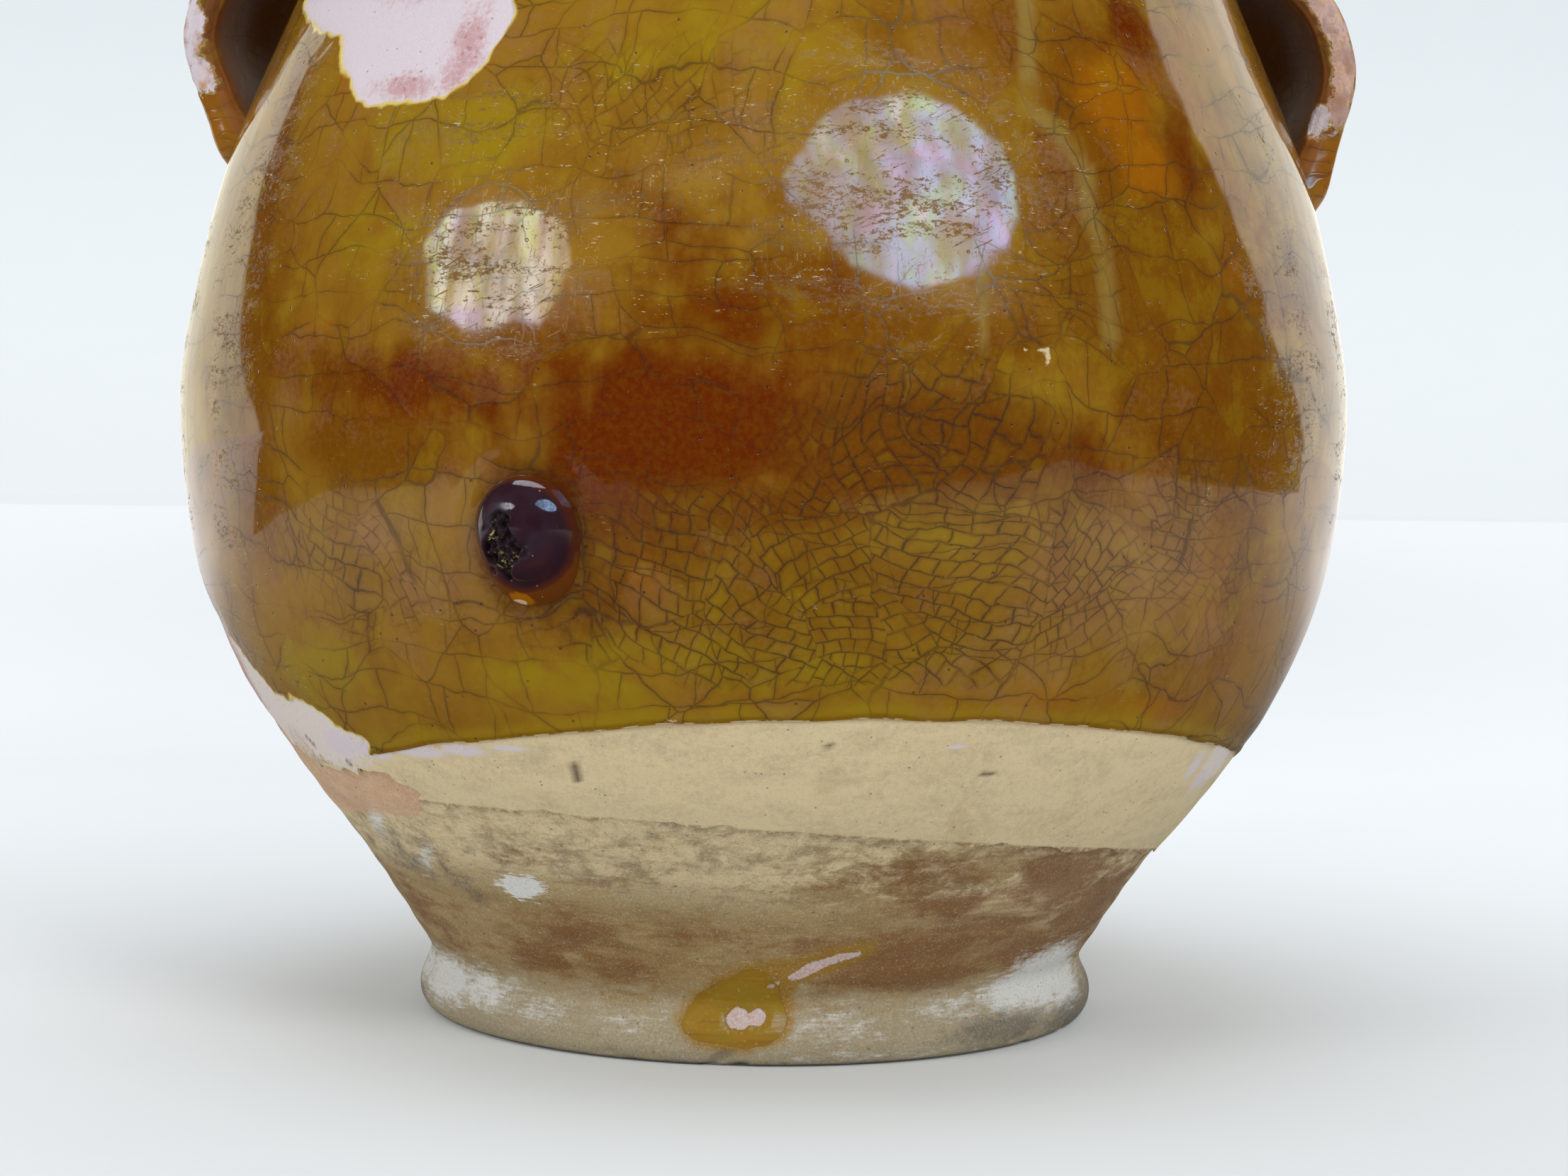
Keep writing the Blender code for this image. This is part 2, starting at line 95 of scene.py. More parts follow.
# Outlines on the wall, as (azimuth, height) in degrees and millimetres
SHOULDER_FLAKE = (
    (-73.6, 203.6), (-66, 199.2), (-54, 194.6), (-52.6, 190.6), (-49.7, 186.9), (-47.6, 183.4),
    (-44.5, 181.2), (-39.4, 181.3), (-34, 182.6), (-29.8, 188.4), (-28, 197.6), (-30, 207.5), (-37, 214.5),
    (-50, 216.5), (-63, 213), (-72, 208),
)
SIDE_FLAKE = (
    (-46.3, 62.4), (-49.6, 64.4), (-53.4, 67.4), (-58, 68.4), (-62.6, 69.9), (-66, 74.6), (-73.9, 80.4),
    (-80, 84), (-88, 84.6), (-96, 81), (-101, 73), (-103, 60), (-103, 40), (-47, 40),
)
SLIP_FLAKE = (
    (-41.6, 52.7), (-45.7, 56.2), (-52, 55.2), (-61.7, 54.6), (-67, 58), (-74, 66), (-82, 72), (-90, 70),
    (-96, 62), (-97, 46), (-84, 42.5), (-70, 43), (-60.8, 44.8), (-50, 46.3), (-44.1, 47.5),
)
RUN_OUTLINE = (
    (-11.9, 8.4), (-10.6, 11.6), (-7.6, 15), (-4.6, 17.2), (-0.8, 19.8), (2.2, 18.6), (3.4, 16.2),
    (4.4, 13), (5.2, 9.6), (4.2, 6.4), (1.6, 4.6), (-1.5, 3.8), (-4.6, 4.4), (-8.4, 5.2), (-11, 6.4),
)
RUN_CHIPS = (
    ((-4.6, 9.6), (-4.2, 11), (-2.6, 11.6), (-1.4, 11), (-1, 10.2), (-0.2, 11.2), (1, 11.4), (1.9, 10.2),
     (1.6, 8.7), (0.6, 8), (-0.8, 8.2), (-1.9, 7.3), (-3.6, 7.5), (-4.4, 8.4)),
    ((1.6, 15.6), (2.2, 16.4), (3.3, 16.7), (3.1, 15.9), (2.4, 15.3)),
)
SLIP_SCARS = (
    ((-18.8, 62.5), (-19.2, 60.4), (-19, 58.8)), ((-59.9, 60.6), (-59, 59.2)), ((-52.4, 57.1), (-52, 56.8)),
    ((-60.9, 54.6), (-60.2, 54)), ((23.6, 61), (25.4, 60.6)), ((7, 66.8), (7.3, 66.5)),
)
WHITE_CHIPS = (
    ((4.6, 17.6), (6.2, 17.4), (8, 18.2), (9.8, 19.6), (12, 21), (15.9, 22.6), (15.6, 23.3), (12.4, 22.8),
     (10.6, 22), (8.2, 21), (6.4, 19.4)),
    ((-4.8, 9), (-3, 12), (2, 12), (2.2, 8), (-2, 7), (-4.4, 7.6)),
    ((1.2, 15), (2, 17), (3.8, 17), (3.4, 15)),
)
STAIN_OUTLINE = (
    (-12.5, 8.6), (-8, 15.5), (-1, 20.6), (6, 22), (12, 24), (17, 25), (17.5, 23), (12, 19.5), (6.6, 16.4),
    (6, 9.6), (4.8, 5.6), (-1.5, 3.2), (-9, 4.6),
)
# Small nicks through the glaze; the arc near 24 degrees and 137 mm is a painted glint on a burst bubble's rim
NICKS_AND_GLINTS = (
    ((26.2, 143.8), (26.4, 144)), ((23, 138.6), (24.2, 139), (25.1, 137.8), (24.9, 135.6)),
    ((-8.5, 71.5), (-8.2, 71.5)),
)
STREAKS = (
    ((28.3, 202), (27, 191), (25.9, 181.3), (28.9, 177.3), (31.2, 170.3), (30.8, 164.1), (31.9, 154.6),
     (31.8, 140)),
    ((19.3, 152), (19, 139)),
)
BIG_SOFTBOX_SHARES = (
    (-0.6, 1.12), (-0.13, 1.24), (0.29, 1.12), (0.71, 0.76), (0.86, 0.41), (0.97, -0.14), (0.89, -0.52),
    (0.6, -0.83), (0.13, -1), (-0.39, -0.8), (-0.71, -0.45), (-1, -0.07), (-1.06, 0.24), (-0.87, 0.76),
)
SMALL_SOFTBOX_SHARES = (
    (-0.55, 0.9), (0.35, 1), (0.95, 0.45), (1, -0.2), (0.55, -0.95), (-0.4, -1), (-0.95, -0.4), (-1, 0.3),
)

# Tints across a softbox, as its weathered skin shows them: (noise from, noise to, colour)
SKIN_HUES = (
    (0.52, 0.6, (0.28, 0.62, 0.62)), (0.46, 0.38, (0.44, 0.48, 1)), (0.62, 0.68, (0.6, 0.76, 1)),
)
PALE_HUES = (
    (0.52, 0.59, (0.66, 0.84, 0.5)), (0.47, 0.4, (0.7, 0.66, 1)), (0.61, 0.67, (0.78, 0.92, 1)),
)

# Soft places on the glaze: (azimuth, height, half width mm, half height mm, strength, lean degrees)
RED_PLACES = (
    (-6, 125, 38, 14, 1), (9, 121, 36, 11, 0.95), (-14, 113, 18, 13, 0.9), (22, 120, 30, 9, 0.7),
    (-3, 142, 20, 10, 0.5), (-15, 95, 12, 9, 0.45), (-32, 130, 30, 8, 0.55), (-7, 154, 14, 10, 0.45),
    (1, 112, 28, 7, 0.6), (42, 198, 9, 7, 0.55), (44.5, 174, 6, 9, 0.6), (46, 130, 12, 26, 0.2),
    (60, 150, 20, 40, 0.3), (120, 130, 45, 26, 0.75, 10), (-140, 120, 50, 20, 0.8, -8),
    (170, 165, 36, 18, 0.6), (-100, 150, 30, 24, 0.5), (95, 110, 26, 24, 0.5), (-160, 84, 40, 8, 0.4),
    (-175, 130, 30, 10, 0.6),
)
BROWN_PLACES = (
    (-40, 130, 36, 12, 0.55), (-38, 119, 26, 10, 0.9), (-20, 139, 26, 9, 0.75), (-54, 124, 14, 34, 0.9),
    (-58.5, 172, 6, 40, 0.95, 14), (24, 112, 42, 14, 0.55), (36, 160, 28, 54, 0.95), (24, 196, 14, 14, 0.8),
    (0, 142, 38, 13, 0.85), (16, 140, 32, 11, 0.8), (-8, 157, 18, 12, 0.5), (46, 125, 24, 46, 0.95),
    (-8, 206, 16, 9, 0.3), (75, 150, 30, 50, 0.6), (6, 98, 40, 16, 0.5), (40, 100, 30, 16, 0.55),
    (12, 200, 12, 14, 0.45), (-30, 100, 26, 18, 0.25), (140, 185, 40, 18, 0.65), (-120, 110, 36, 30, 0.75),
    (180, 120, 50, 18, 0.75),
)
AMBER_PLACES = (
    (37.6, 184, 12, 11, 1, 10), (39, 172, 9, 8, 0.95, 10), (36, 194, 6, 6, 0.6), (-10.6, 99, 6, 12, 0.8),
    (-49.5, 188, 4, 12, 0.8, 24), (25, 74.5, 30, 5, 0.6), (42, 71.5, 22, 5, 0.8), (45, 97, 14, 20, 0.55),
    (-30, 126, 24, 6, 0.6), (-44, 140, 14, 8, 0.6), (12, 128, 16, 6, 0.5), (48, 150, 8, 20, 0.45),
    (110, 180, 24, 16, 0.7), (-150, 150, 30, 18, 0.65), (150, 90, 40, 14, 0.6), (-120, 190, 18, 14, 0.6),
)
YELLOW_PLACES = (
    (21, 126, 9, 9, 0.9), (-8, 192, 24, 10, 0.8), (-32, 174, 22, 9, 0.8), (-48, 78, 20, 10, 0.65),
    (0, 84, 40, 9, 0.6), (-16, 78, 26, 6, 0.7), (14, 104, 18, 8, 0.5), (6, 146, 18, 6, 0.4),
    (-38, 158, 14, 10, 0.55), (-44, 98, 12, 10, 0.45), (3, 96, 20, 8, 0.45), (130, 150, 30, 14, 0.6),
    (-170, 190, 30, 12, 0.6), (-110, 80, 30, 12, 0.55), (170, 90, 30, 12, 0.55),
)
HAZE_PLACES = (
    (34, 97, 26, 17, 0.95), (26, 84, 22, 8, 0.6), (-37, 103, 12, 7, 0.9, 20), (-32, 95, 9, 7, 0.8),
    (-41, 91, 12, 7, 0.7), (-10, 92, 8, 9, 0.6), (-20, 146, 12, 7, 0.6), (-27, 128, 12, 4, 0.35),
    (-17, 162, 20, 8, 0.3), (40, 104, 24, 14, 0.55), (16, 150, 24, 8, 0.45), (-4, 172, 26, 10, 0.4),
    (44, 86, 20, 10, 0.6), (-60, 92, 10, 24, 0.5), (30, 100, 20, 8, 0.3), (-130, 90, 30, 14, 0.5),
    (110, 100, 40, 12, 0.5), (-170, 150, 30, 14, 0.5),
)
CRAZED_PLACES = (
    (10, 96, 66, 22, 1), (14, 122, 34, 20, 0.85), (-10, 182, 52, 18, 0.5), (-40, 98, 34, 24, 0.6),
    (42, 100, 30, 26, 0.65), (-25, 150, 34, 20, 0.45), (30, 150, 34, 34, 0.5), (120, 130, 60, 40, 0.8),
    (-130, 150, 60, 50, 0.8), (180, 110, 60, 40, 0.8), (-80, 150, 30, 40, 0.5), (80, 140, 30, 40, 0.5),
)
WORN_PLACES = (
    (12, 168, 34, 24, 0.9), (-26, 153, 22, 16, 1), (-30, 178, 24, 16, 0.7), (-8, 172, 26, 18, 0.7),
    (-60, 140, 14, 60, 0.8), (60, 140, 14, 50, 0.7), (74, 134, 9, 26, 1.1), (-78, 132, 10, 44, 0.9),
    (0, 150, 60, 12, 0.4), (-90, 160, 30, 40, 0.6), (90, 150, 30, 40, 0.6), (150, 160, 50, 24, 0.6),
    (-150, 165, 50, 24, 0.6),
)

# Soft places on the lower wall and foot, where clay and slip show
BARE_BROWN_PLACES = (
    (46, 36, 20, 11, 1), (62, 27, 20, 12, 1), (24, 22.5, 22, 6, 1, 6), (38, 26, 16, 8, 0.8),
    (8, 24, 14, 4, 0.7), (26, 17, 26, 4, 0.9), (46, 20, 16, 6, 0.9), (-64, 24, 18, 10, 0.6, -30),
    (-47, 36, 9, 4, 0.35, -30), (-28, 25, 14, 6, 0.75, 10), (-36, 19, 12, 5, 0.75), (-22, 19, 14, 5, 0.7),
    (-6, 26, 12, 4, 0.6), (-30, 41, 14, 3, 0.35), (20, 40, 20, 5, 0.75), (26, 33, 14, 5, 0.8),
    (100, 30, 24, 9, 0.8), (-100, 28, 26, 9, 0.75), (140, 24, 30, 8, 0.7), (-150, 26, 30, 9, 0.7),
    (180, 34, 18, 5, 0.5),
)
SALT_PLACES = (
    (-66, 9, 16, 5, 1.1), (-52, 9.5, 12, 4, 0.85), (-38, 8, 12, 3, 0.5), (57, 13, 13, 6, 1.5),
    (48, 11, 10, 4, 1.1), (66, 10, 10, 5, 1.2), (34, 10, 12, 3, 0.5), (-80, 9, 12, 5, 0.9),
    (100, 10, 18, 5, 0.7), (-120, 9, 18, 5, 0.7), (160, 9, 20, 5, 0.6), (12, 8, 12, 4, 0.45),
    (-22, 8, 12, 3, 0.35), (-57, 44, 8, 2.5, 0.8, 35), (-50, 37, 7, 2, 0.6, 35), (20, 2, 30, 2, 0.35),
)
GREY_PLACES = (
    (66, 3.5, 22, 4, 1), (84, 5, 20, 6, 0.9), (10, 31, 8, 4, 0.35), (-56, 38, 12, 6, 0.75, -40),
    (-44, 32, 12, 4, 0.55, -30), (46, 4.5, 20, 4, 0.9), (-85, 4, 20, 4, 0.7), (130, 5, 24, 6, 0.7),
    (-150, 5, 30, 5, 0.6), (30, 46, 10, 5, 0.4),
)
OCHRE_PLACES = (
    (-20, 22, 26, 7, 0.8), (-10, 6, 24, 5, 0.25), (20, 5, 16, 4, 0.5), (-34, 26, 16, 5, 0.6, -20),
    (16, 36, 24, 9, 0.8), (30, 40, 20, 7, 0.8), (-10, 31, 14, 5, 0.4), (-18, 36, 10, 4, 0.35),
    (-70, 16, 20, 5, 0.6), (90, 20, 30, 7, 0.6), (-130, 18, 40, 6, 0.6), (160, 16, 30, 6, 0.6),
    (18, 16, 24, 4, 0.7), (-24, 14, 20, 3, 0.6),
)
LILAC_PLACES = (
    (-50, 198, 34, 24, 1), (-72, 70, 34, 15, 1), (-55, 64, 16, 8, 1.2), (66, 60, 10, 8, 0.9),
)
CHIP_PLACES = (
    (-46, 60.6, 7, 1.8, 1), (-38.5, 61.9, 8, 1.5, 1), (-32, 63, 6, 1.2, 1), (-26, 64.2, 5, 0.8, 0.9),
    (-52, 61, 6, 3, 1), (20, 66.4, 3, 0.6, 0.8), (58, 58, 3, 4, 0.8), (63, 54, 4, 3, 0.8),
)
STAIN_PLACES = (
    (-33, 191, 6, 12, 1), (-40, 184.5, 12, 3, 0.9), (-44, 205, 16, 8, 0.7), (-56, 200, 10, 5, 0.3),
    (-76, 70, 9, 14, 1.1, 20), (-64, 60, 7, 3, 0.5), (70, 58, 4, 3, 0.6),
)
OBLONG_PLACES = ((-33.2, 34.2, 5.2, 2.4, 1.2, 8),)
CLAY_PLACES = {
    "brown": BARE_BROWN_PLACES, "salt": SALT_PLACES, "grey": GREY_PLACES, "ochre": OCHRE_PLACES,
    "oblong": OBLONG_PLACES,
}
SLIP_PLACES = {"lilac": LILAC_PLACES, "stain": STAIN_PLACES, "chip": CHIP_PLACES}
GLAZE_PLACES = {
    "red": RED_PLACES, "umber": BROWN_PLACES, "amber": AMBER_PLACES, "yellow": YELLOW_PLACES,
    "haze": HAZE_PLACES, "crazed": CRAZED_PLACES, "worn": WORN_PLACES,
}

# Bare places on the straps: (share along, across, through, half share along, half across, strength, paleness)
LEFT_BARE_PLACES = (
    (0.43, 0.96, 0.5, 0.085, 0.2, 1, 1), (0.33, 0.97, 0.3, 0.05, 0.16, 0.9, 1),
    (0.54, 0.3, 1, 0.04, 0.16, 0.6, 0.4), (0.8, -0.9, 0.6, 0.08, 0.15, 0.8, 0.4),
    (0.36, -0.9, 0.6, 0.07, 0.14, 0.8, 0.5),
)
RIGHT_BARE_PLACES = (
    (0.6, -0.98, 0.3, 0.24, 0.12, 1, 0.3), (0.42, -0.99, 0.3, 0.12, 0.1, 1, 0.2),
    (0.6, -0.5, 0.9, 0.14, 0.3, 0.75, 0.3), (0.3, -0.92, -0.5, 0.05, 0.12, 0.9, 1),
    (0.46, 0.95, 0.3, 0.08, 0.12, 0.75, 0.4),
)


def shade(red, green, blue):
    """A colour for a property, from its display values of 0 to 255."""
    levels = (red / 255, green / 255, blue / 255)
    return tuple(v / 12.92 if v <= 0.04045 else ((v + 0.055) / 1.055) ** 2.4 for v in levels)


def length(name, default, description):
    return bpy.props.FloatProperty(
        name=name, description=description, default=default, min=0, precision=4, unit="LENGTH"
    )


def angle(name, degrees, description):
    return bpy.props.FloatProperty(
        name=name, description=description, default=math.radians(degrees), subtype="ANGLE", unit="ROTATION"
    )


def power(name, watts, description):
    return bpy.props.FloatProperty(name=name, description=description, default=watts, unit="POWER")


def colour(name, levels, description):
    return bpy.props.FloatVectorProperty(
        name=name, description=description, default=shade(*levels), size=3, min=0, max=1, subtype="COLOR"
    )


class PotSizes(bpy.types.PropertyGroup):
    """Sizes of the thrown pot, its coats and its handles."""

    standing_radius: length("Standing radius", 0.0672, "Outer radius of the ring the pot stands on")
    foot_radius: length("Foot radius", 0.0702, "Widest radius of the foot's roll")
    foot_roll_height: length("Foot roll height", 0.0045, "Height of the foot's widest line")
    waist_radius: length("Waist radius", 0.0678, "Radius of the narrow place over the foot")
    waist_rise: length("Waist rise", 0.0080, "Rise from the foot's widest line to the waist")
    belly_radius: length("Belly radius", 0.1183, "Widest radius of the clay")
    belly_rise: length("Belly rise", 0.1105, "Rise from the waist to the widest line")
    neck_radius: length("Neck radius", 0.0838, "Radius of the neck")
    neck_rise: length("Neck rise", 0.1100, "Rise from the widest line to the neck")
    lip_radius: length("Lip radius", 0.0938, "Widest radius of the lip")
    lip_rise: length("Lip rise", 0.0172, "Rise from the neck to the lip's widest line")
    rim_rise: length("Rim rise", 0.0048, "Rise from the lip's widest line to the top")
    lip_roll_width: length("Lip roll width", 0.0048, "Width of the lip's rounded edge")
    rim_land_width: length("Rim land width", 0.0040, "Width of the flat on the rim")
    wall_thickness: length("Wall thickness", 0.0075, "Thickness of the thrown wall")
    floor_thickness: length("Floor thickness", 0.0110, "Thickness of the floor")
    floor_radius: length("Floor radius", 0.0520, "Radius of the flat inside floor")
    ring_width: length("Standing ring width", 0.0120, "Width of the ring the pot stands on")
    undercut_depth: length("Undercut depth", 0.0015, "Depth of the hollow under the floor")
    undercut_slope: length("Undercut slope", 0.0030, "Width of the slope into that hollow")
    slip_outside: length("Slip outside", 0.0008, "How far the slip's face stands off the clay")
    glaze_outside: length("Glaze outside", 0.0017, "How far the glaze's face stands off the clay")
    coat_gap: length("Coat gap", 0.0003, "Gap between one coat and the next")
    lining_thickness: length("Lining thickness", 0.0006, "Thickness of the glaze inside")
    handle_azimuth: angle("Handle azimuth", 98, "Turn of each handle from the front")
    handle_width: length("Handle width", 0.0420, "Width of the straps")
    handle_thickness: length("Handle thickness", 0.0075, "Thickness of the straps")
    handle_root: length("Handle root", 0.0110, "Depth of the straps' ends in the wall")
    left_drop: length("Left handle drop", 0.0097, "From the neck down to the left handle's upper joint")
    left_span: length("Left handle span", 0.0458, "Height between the left handle's joints")
    left_gap: length("Left handle gap", 0.0125, "Finger gap of the left handle")
    right_drop: length("Right handle drop", 0.0120, "From the neck down to the right handle's upper joint")
    right_span: length("Right handle span", 0.0490, "Height between the right handle's joints")
    right_gap: length("Right handle gap", 0.0108, "Finger gap of the right handle")
    boss_azimuth: angle("Lump azimuth", -20.5, "Turn of the glass lump from the front")
    boss_height: length("Lump height", 0.1030, "Height of the glass lump's middle")
    boss_width: length("Lump width", 0.0200, "Width of the glass lump")
    boss_length: length("Lump length", 0.0240, "Height of the glass lump")
    boss_standout: length("Lump standout", 0.0080, "How far the lump stands off the glaze")


class PotColours(bpy.types.PropertyGroup):
    """Colours of clay, slip and glaze."""

    olive: colour("Olive glaze", (142, 102, 28), "Glaze where it lies over slip")
    yellow: colour("Yellow glaze", (146, 122, 18), "Glaze where it is thin and yellow")
    brown: colour("Brown glaze", (112, 64, 6), "Glaze where it is thick")
    amber: colour("Amber glaze", (156, 90, 4), "Glaze where it is clear and orange")
    red: colour("Red glaze", (96, 30, 2), "Glaze where the iron has come through")
    haze: colour("Haze", (150, 106, 82), "Milky pink places in the glaze")
    streak: colour("Streak", (140, 116, 58), "Grey olive streaks down the glaze")
    # Painted shade: laid darker on the straps' inner faces, where they face the wall; also a dark mottle on
    # bare clay
    brown_and_inner_shade: colour("Brown and inner shade", (126, 68, 6), "Dark glaze inside the handles")
    moss: colour("Moss", (116, 84, 20), "Glaze where the craze is dense")
    gouge: colour("Gouge", (112, 74, 22), "Broken places in worn glaze")
    craze: colour("Craze line", (54, 27, 18), "Dirt in the craze lines")
    # Also paints the flecks, which are partly chips and partly painted glints where the highlights fall
    scratch: colour("Scratch", (196, 172, 140), "Fine scratches and bruises in the glaze")
    break_rim: colour("Break rim", (226, 206, 120), "Edge of the glaze where it has broken off")
    cream: colour("Cream slip", (214, 194, 152), "Slip as it shows under the glaze line")
    lilac: colour("Fresh slip", (208, 196, 203), "Slip where the glaze has flaked off")
    bone: colour("Old fresh slip", (216, 204, 190), "Slip in the older loss above the foot")
    pink: colour("Pink stain", (176, 112, 112), "Stains in the flaked places")
    clay: colour("Clay", (158, 140, 106), "Clay with its wash of slip")
    clay_brown: colour("Brown clay", (126, 84, 40), "Clay where it shows bare")
    clay_pink: colour("Fresh clay", (206, 164, 132), "Clay where a flake has come off")
    ochre: colour("Ochre wash", (150, 122, 72), "Thin yellowish wash on the clay")
    ash: colour("Ash wash", (170, 166, 146), "Greyish wash on the foot")
    salt: colour("Salt bloom", (224, 226, 224), "White bloom on the foot")
    grey: colour("Grey soot", (98, 94, 84), "Soot and dirt at the foot's edge")
    lining: colour("Lining glaze", (150, 104, 44), "Glaze inside")
    boss: colour("Dark glass", (44, 22, 30), "The glass lump")
    # Painted sheen: a lighter grey-purple patch laid on the glass lump's upper middle
    shadow: colour("Halo", (84, 38, 10), "Dark glaze round the glass lump")
    painted_sheen: colour("Painted sheen", (62, 56, 68), "Sheen in the glass lump")
    run: colour("Run of glaze", (156, 116, 22), "The run on the foot")
    backdrop: colour("Backdrop", (226, 231, 234), "Floor and backdrop")


class PotStage(bpy.types.PropertyGroup):
    """The camera, the floor and the lights."""

    lens: bpy.props.FloatProperty(
        name="Lens", description="Focal length on a frame 36 mm wide", default=82.69,
        subtype="DISTANCE_CAMERA",
    )
    camera_distance: length("Camera distance", 0.750, "From the pot's axis to the camera")
    camera_height: length("Camera height", 0.14443, "Height of the camera over the floor")
    camera_yaw: angle("Camera yaw", 0.362, "Turn of the camera towards +X")
    camera_pitch: angle("Camera pitch", 4.38, "Tilt of the camera downwards")
    camera_roll: angle("Camera roll", 0.94, "Roll of the camera")
    key_power: power("Key power", 7.0, "Front right softbox")
    fill_power: power("Fill power", 3.5, "Front left softbox")
    sky_level: bpy.props.FloatProperty(
        name="Sky level", description="Soft light all round", default=0.62, min=0
    )
    table_front: length("Table front", 0.67, "From the pot's axis to the table's front edge")


# Turned forms

LINE_STEP = 0.25
FOOT_HEIGHTS = (17, 30)
NECK_HEIGHTS = (214, 228)


def smooth_step(value, low, high):
    share = np.clip((value - low) / (high - low), 0.0, 1.0)
    return share * share * (3 - 2 * share)


def curve_through(points, steps, closed=False):
    """Points of a smooth curve through the given ones, so many steps to each stretch."""
    points = np.asarray(points, float)
    if closed:
        ring = np.vstack((points[-1], points, points[0], points[1]))
    else:
        ring = np.vstack((2 * points[0] - points[1], points, 2 * points[-1] - points[-2]))
    a, b, c, d = ring[:-3], ring[1:-2], ring[2:-1], ring[3:]
    t = (np.arange(steps) / steps)[None, :, None]
    a, b, c, d = (part[:, None, :] for part in (a, b, c, d))
    bend = (2 * a - 5 * b + 4 * c - d) * t**2 + (3 * b - a - 3 * c + d) * t**3
    out = ((2 * b + (c - a) * t + bend) / 2).reshape(-1, points.shape[1])
    return out if closed else np.vstack((out, points[-1]))


def between(start, end, shares):
    """(radius, height) points by shares of the way from start to end: (height share, radius share)."""
    return [
        (start[0] + (end[0] - start[0]) * run, start[1] + (end[1] - start[1]) * rise) for rise, run in shares
    ]


def wall_keys(sizes):
    """The wall's main points, from the waist up to the neck."""
    waist_height = sizes.foot_roll_height + sizes.waist_rise
    waist = (sizes.waist_radius, waist_height)
    belly = (sizes.belly_radius, waist_height + sizes.belly_rise)
    neck = (sizes.neck_radius, belly[1] + sizes.neck_rise)
    lower = between(waist, belly, LOWER_WALL_SHARES)
    upper = between(belly, neck, UPPER_WALL_SHARES)
    return [waist, *lower, belly, *upper, neck]


def neck_height(sizes):
    return sizes.foot_roll_height + sizes.waist_rise + sizes.belly_rise + sizes.neck_rise


def top_height(sizes):
    return neck_height(sizes) + sizes.lip_rise + sizes.rim_rise


def land_outer_radius(sizes):
    return sizes.lip_radius - sizes.lip_roll_width


def outer_profile(sizes):
    """The clay's outside from the standing edge up to the rim's land, as dense (radius, height) points."""
    quarter = np.linspace(math.pi / 2, 0, 12)
    tuck = sizes.foot_radius - sizes.standing_radius
    roll = np.stack(
        (sizes.standing_radius + tuck * np.cos(quarter), sizes.foot_roll_height * (1 - np.sin(quarter))), 1
    )
    turn = np.linspace(0, math.pi, 14)[1:-1]
    swell = sizes.foot_radius - sizes.waist_radius
    cove = np.stack(
        (sizes.foot_radius - swell * (1 - np.cos(turn)) / 2,
         sizes.foot_roll_height + sizes.waist_rise * turn / math.pi), 1
    )
    wall = curve_through(wall_keys(sizes), 20)
    neck = (sizes.neck_radius, neck_height(sizes))
    lip = (sizes.lip_radius, neck[1] + sizes.lip_rise)
    under = curve_through([neck, *between(neck, lip, LIP_UNDER_SHARES), lip], 8)[1:]
    over = np.linspace(math.pi / 2, 0, 14)[1:]
    rim = np.stack(
        (land_outer_radius(sizes) + sizes.lip_roll_width * np.sin(over),
         lip[1] + sizes.rim_rise * np.cos(over)), 1
    )
    return np.vstack((roll, cove, wall, under, rim))


def spaced(points, step):
    """The line again with even steps."""
    runs = np.hypot(*np.diff(points, axis=0).T)
    way = np.concatenate(([0], np.cumsum(runs)))
    keep = np.concatenate(([True], np.diff(way) > 1e-9))
    even = np.linspace(0, way[-1], int(way[-1] / step) + 1)
    return np.stack([np.interp(even, way[keep], points[keep, k]) for k in range(2)], 1)


def softened(line, reach):
    """The line with its kinks rounded off over a number of points."""
    spread = np.exp(-0.5 * (np.arange(-3 * reach, 3 * reach + 1) / reach) ** 2)
    spread /= spread.sum()
    out = []
    for k in range(2):
        slope_in = line[1, k] - line[0, k]
        slope_out = line[-1, k] - line[-2, k]
        before = line[0, k] + slope_in * np.arange(-3 * reach, 0)
        after = line[-1, k] + slope_out * np.arange(1, 3 * reach + 1)
        out.append(np.convolve(np.concatenate((before, line[:, k], after)), spread, mode="valid"))
    return np.stack(out, 1)


class Side:
    """The clay's outside, read by height; its kinks are rounded more between the foot and the neck."""

    def __init__(self, sizes):
        fine = spaced(outer_profile(sizes), LINE_STEP * MM)
        fine = softened(fine, 3)
        broad = softened(fine, 20)
        height = fine[:, 1] / MM
        weight = smooth_step(height, *FOOT_HEIGHTS) * (1 - smooth_step(height, *NECK_HEIGHTS))
        line = fine + (broad - fine) * weight[:, None]
        order = np.maximum.accumulate(line[:, 1])
        line[:, 1] = order + np.arange(len(order)) * 1e-10
        along = np.gradient(line, axis=0)
        along /= np.hypot(*along.T)[:, None]
        self.height = line[:, 1]
        self.radius = line[:, 0]
        self.out = along[:, 1]
        self.up = -along[:, 0]
        self.way = np.concatenate(([0], np.cumsum(np.hypot(*np.diff(line, axis=0).T))))

    def read(self, height):
        """Radius, the normal's outward and upward parts, and the way along the line, at heights."""
        rows = (self.radius, self.out, self.up, self.way)
        return tuple(np.interp(height, self.height, row) for row in rows)

    def radius_at(self, height):
        return self.read(height)[0]

    def way_at(self, height):
        return self.read(height)[3]

    def rows(self, low, high, bands):
        """Heights from low to high, spaced by bands of (up to this height mm, step mm along the line)."""
        way_low, way_high = self.way_at(low), self.way_at(high)
        way = way_low
        out = []
        while way < way_high - 0.2 * MM:
            out.append(way)
            height = np.interp(way, self.way, self.height) / MM
            way += next(step for top, step in bands if height < top) * MM
        out.append(way_high)
        return np.interp(out, self.way, self.height)


def turns(bands):
    """Azimuths all round from -180, spaced by bands of (up to this azimuth, step)."""
    out = []
    start = -180.0
    for end, step in bands:
        count = max(1, round((end - start) / step))
        out.append(start + (end - start) * np.arange(count) / count)
        start = end
    return np.concatenate(out)


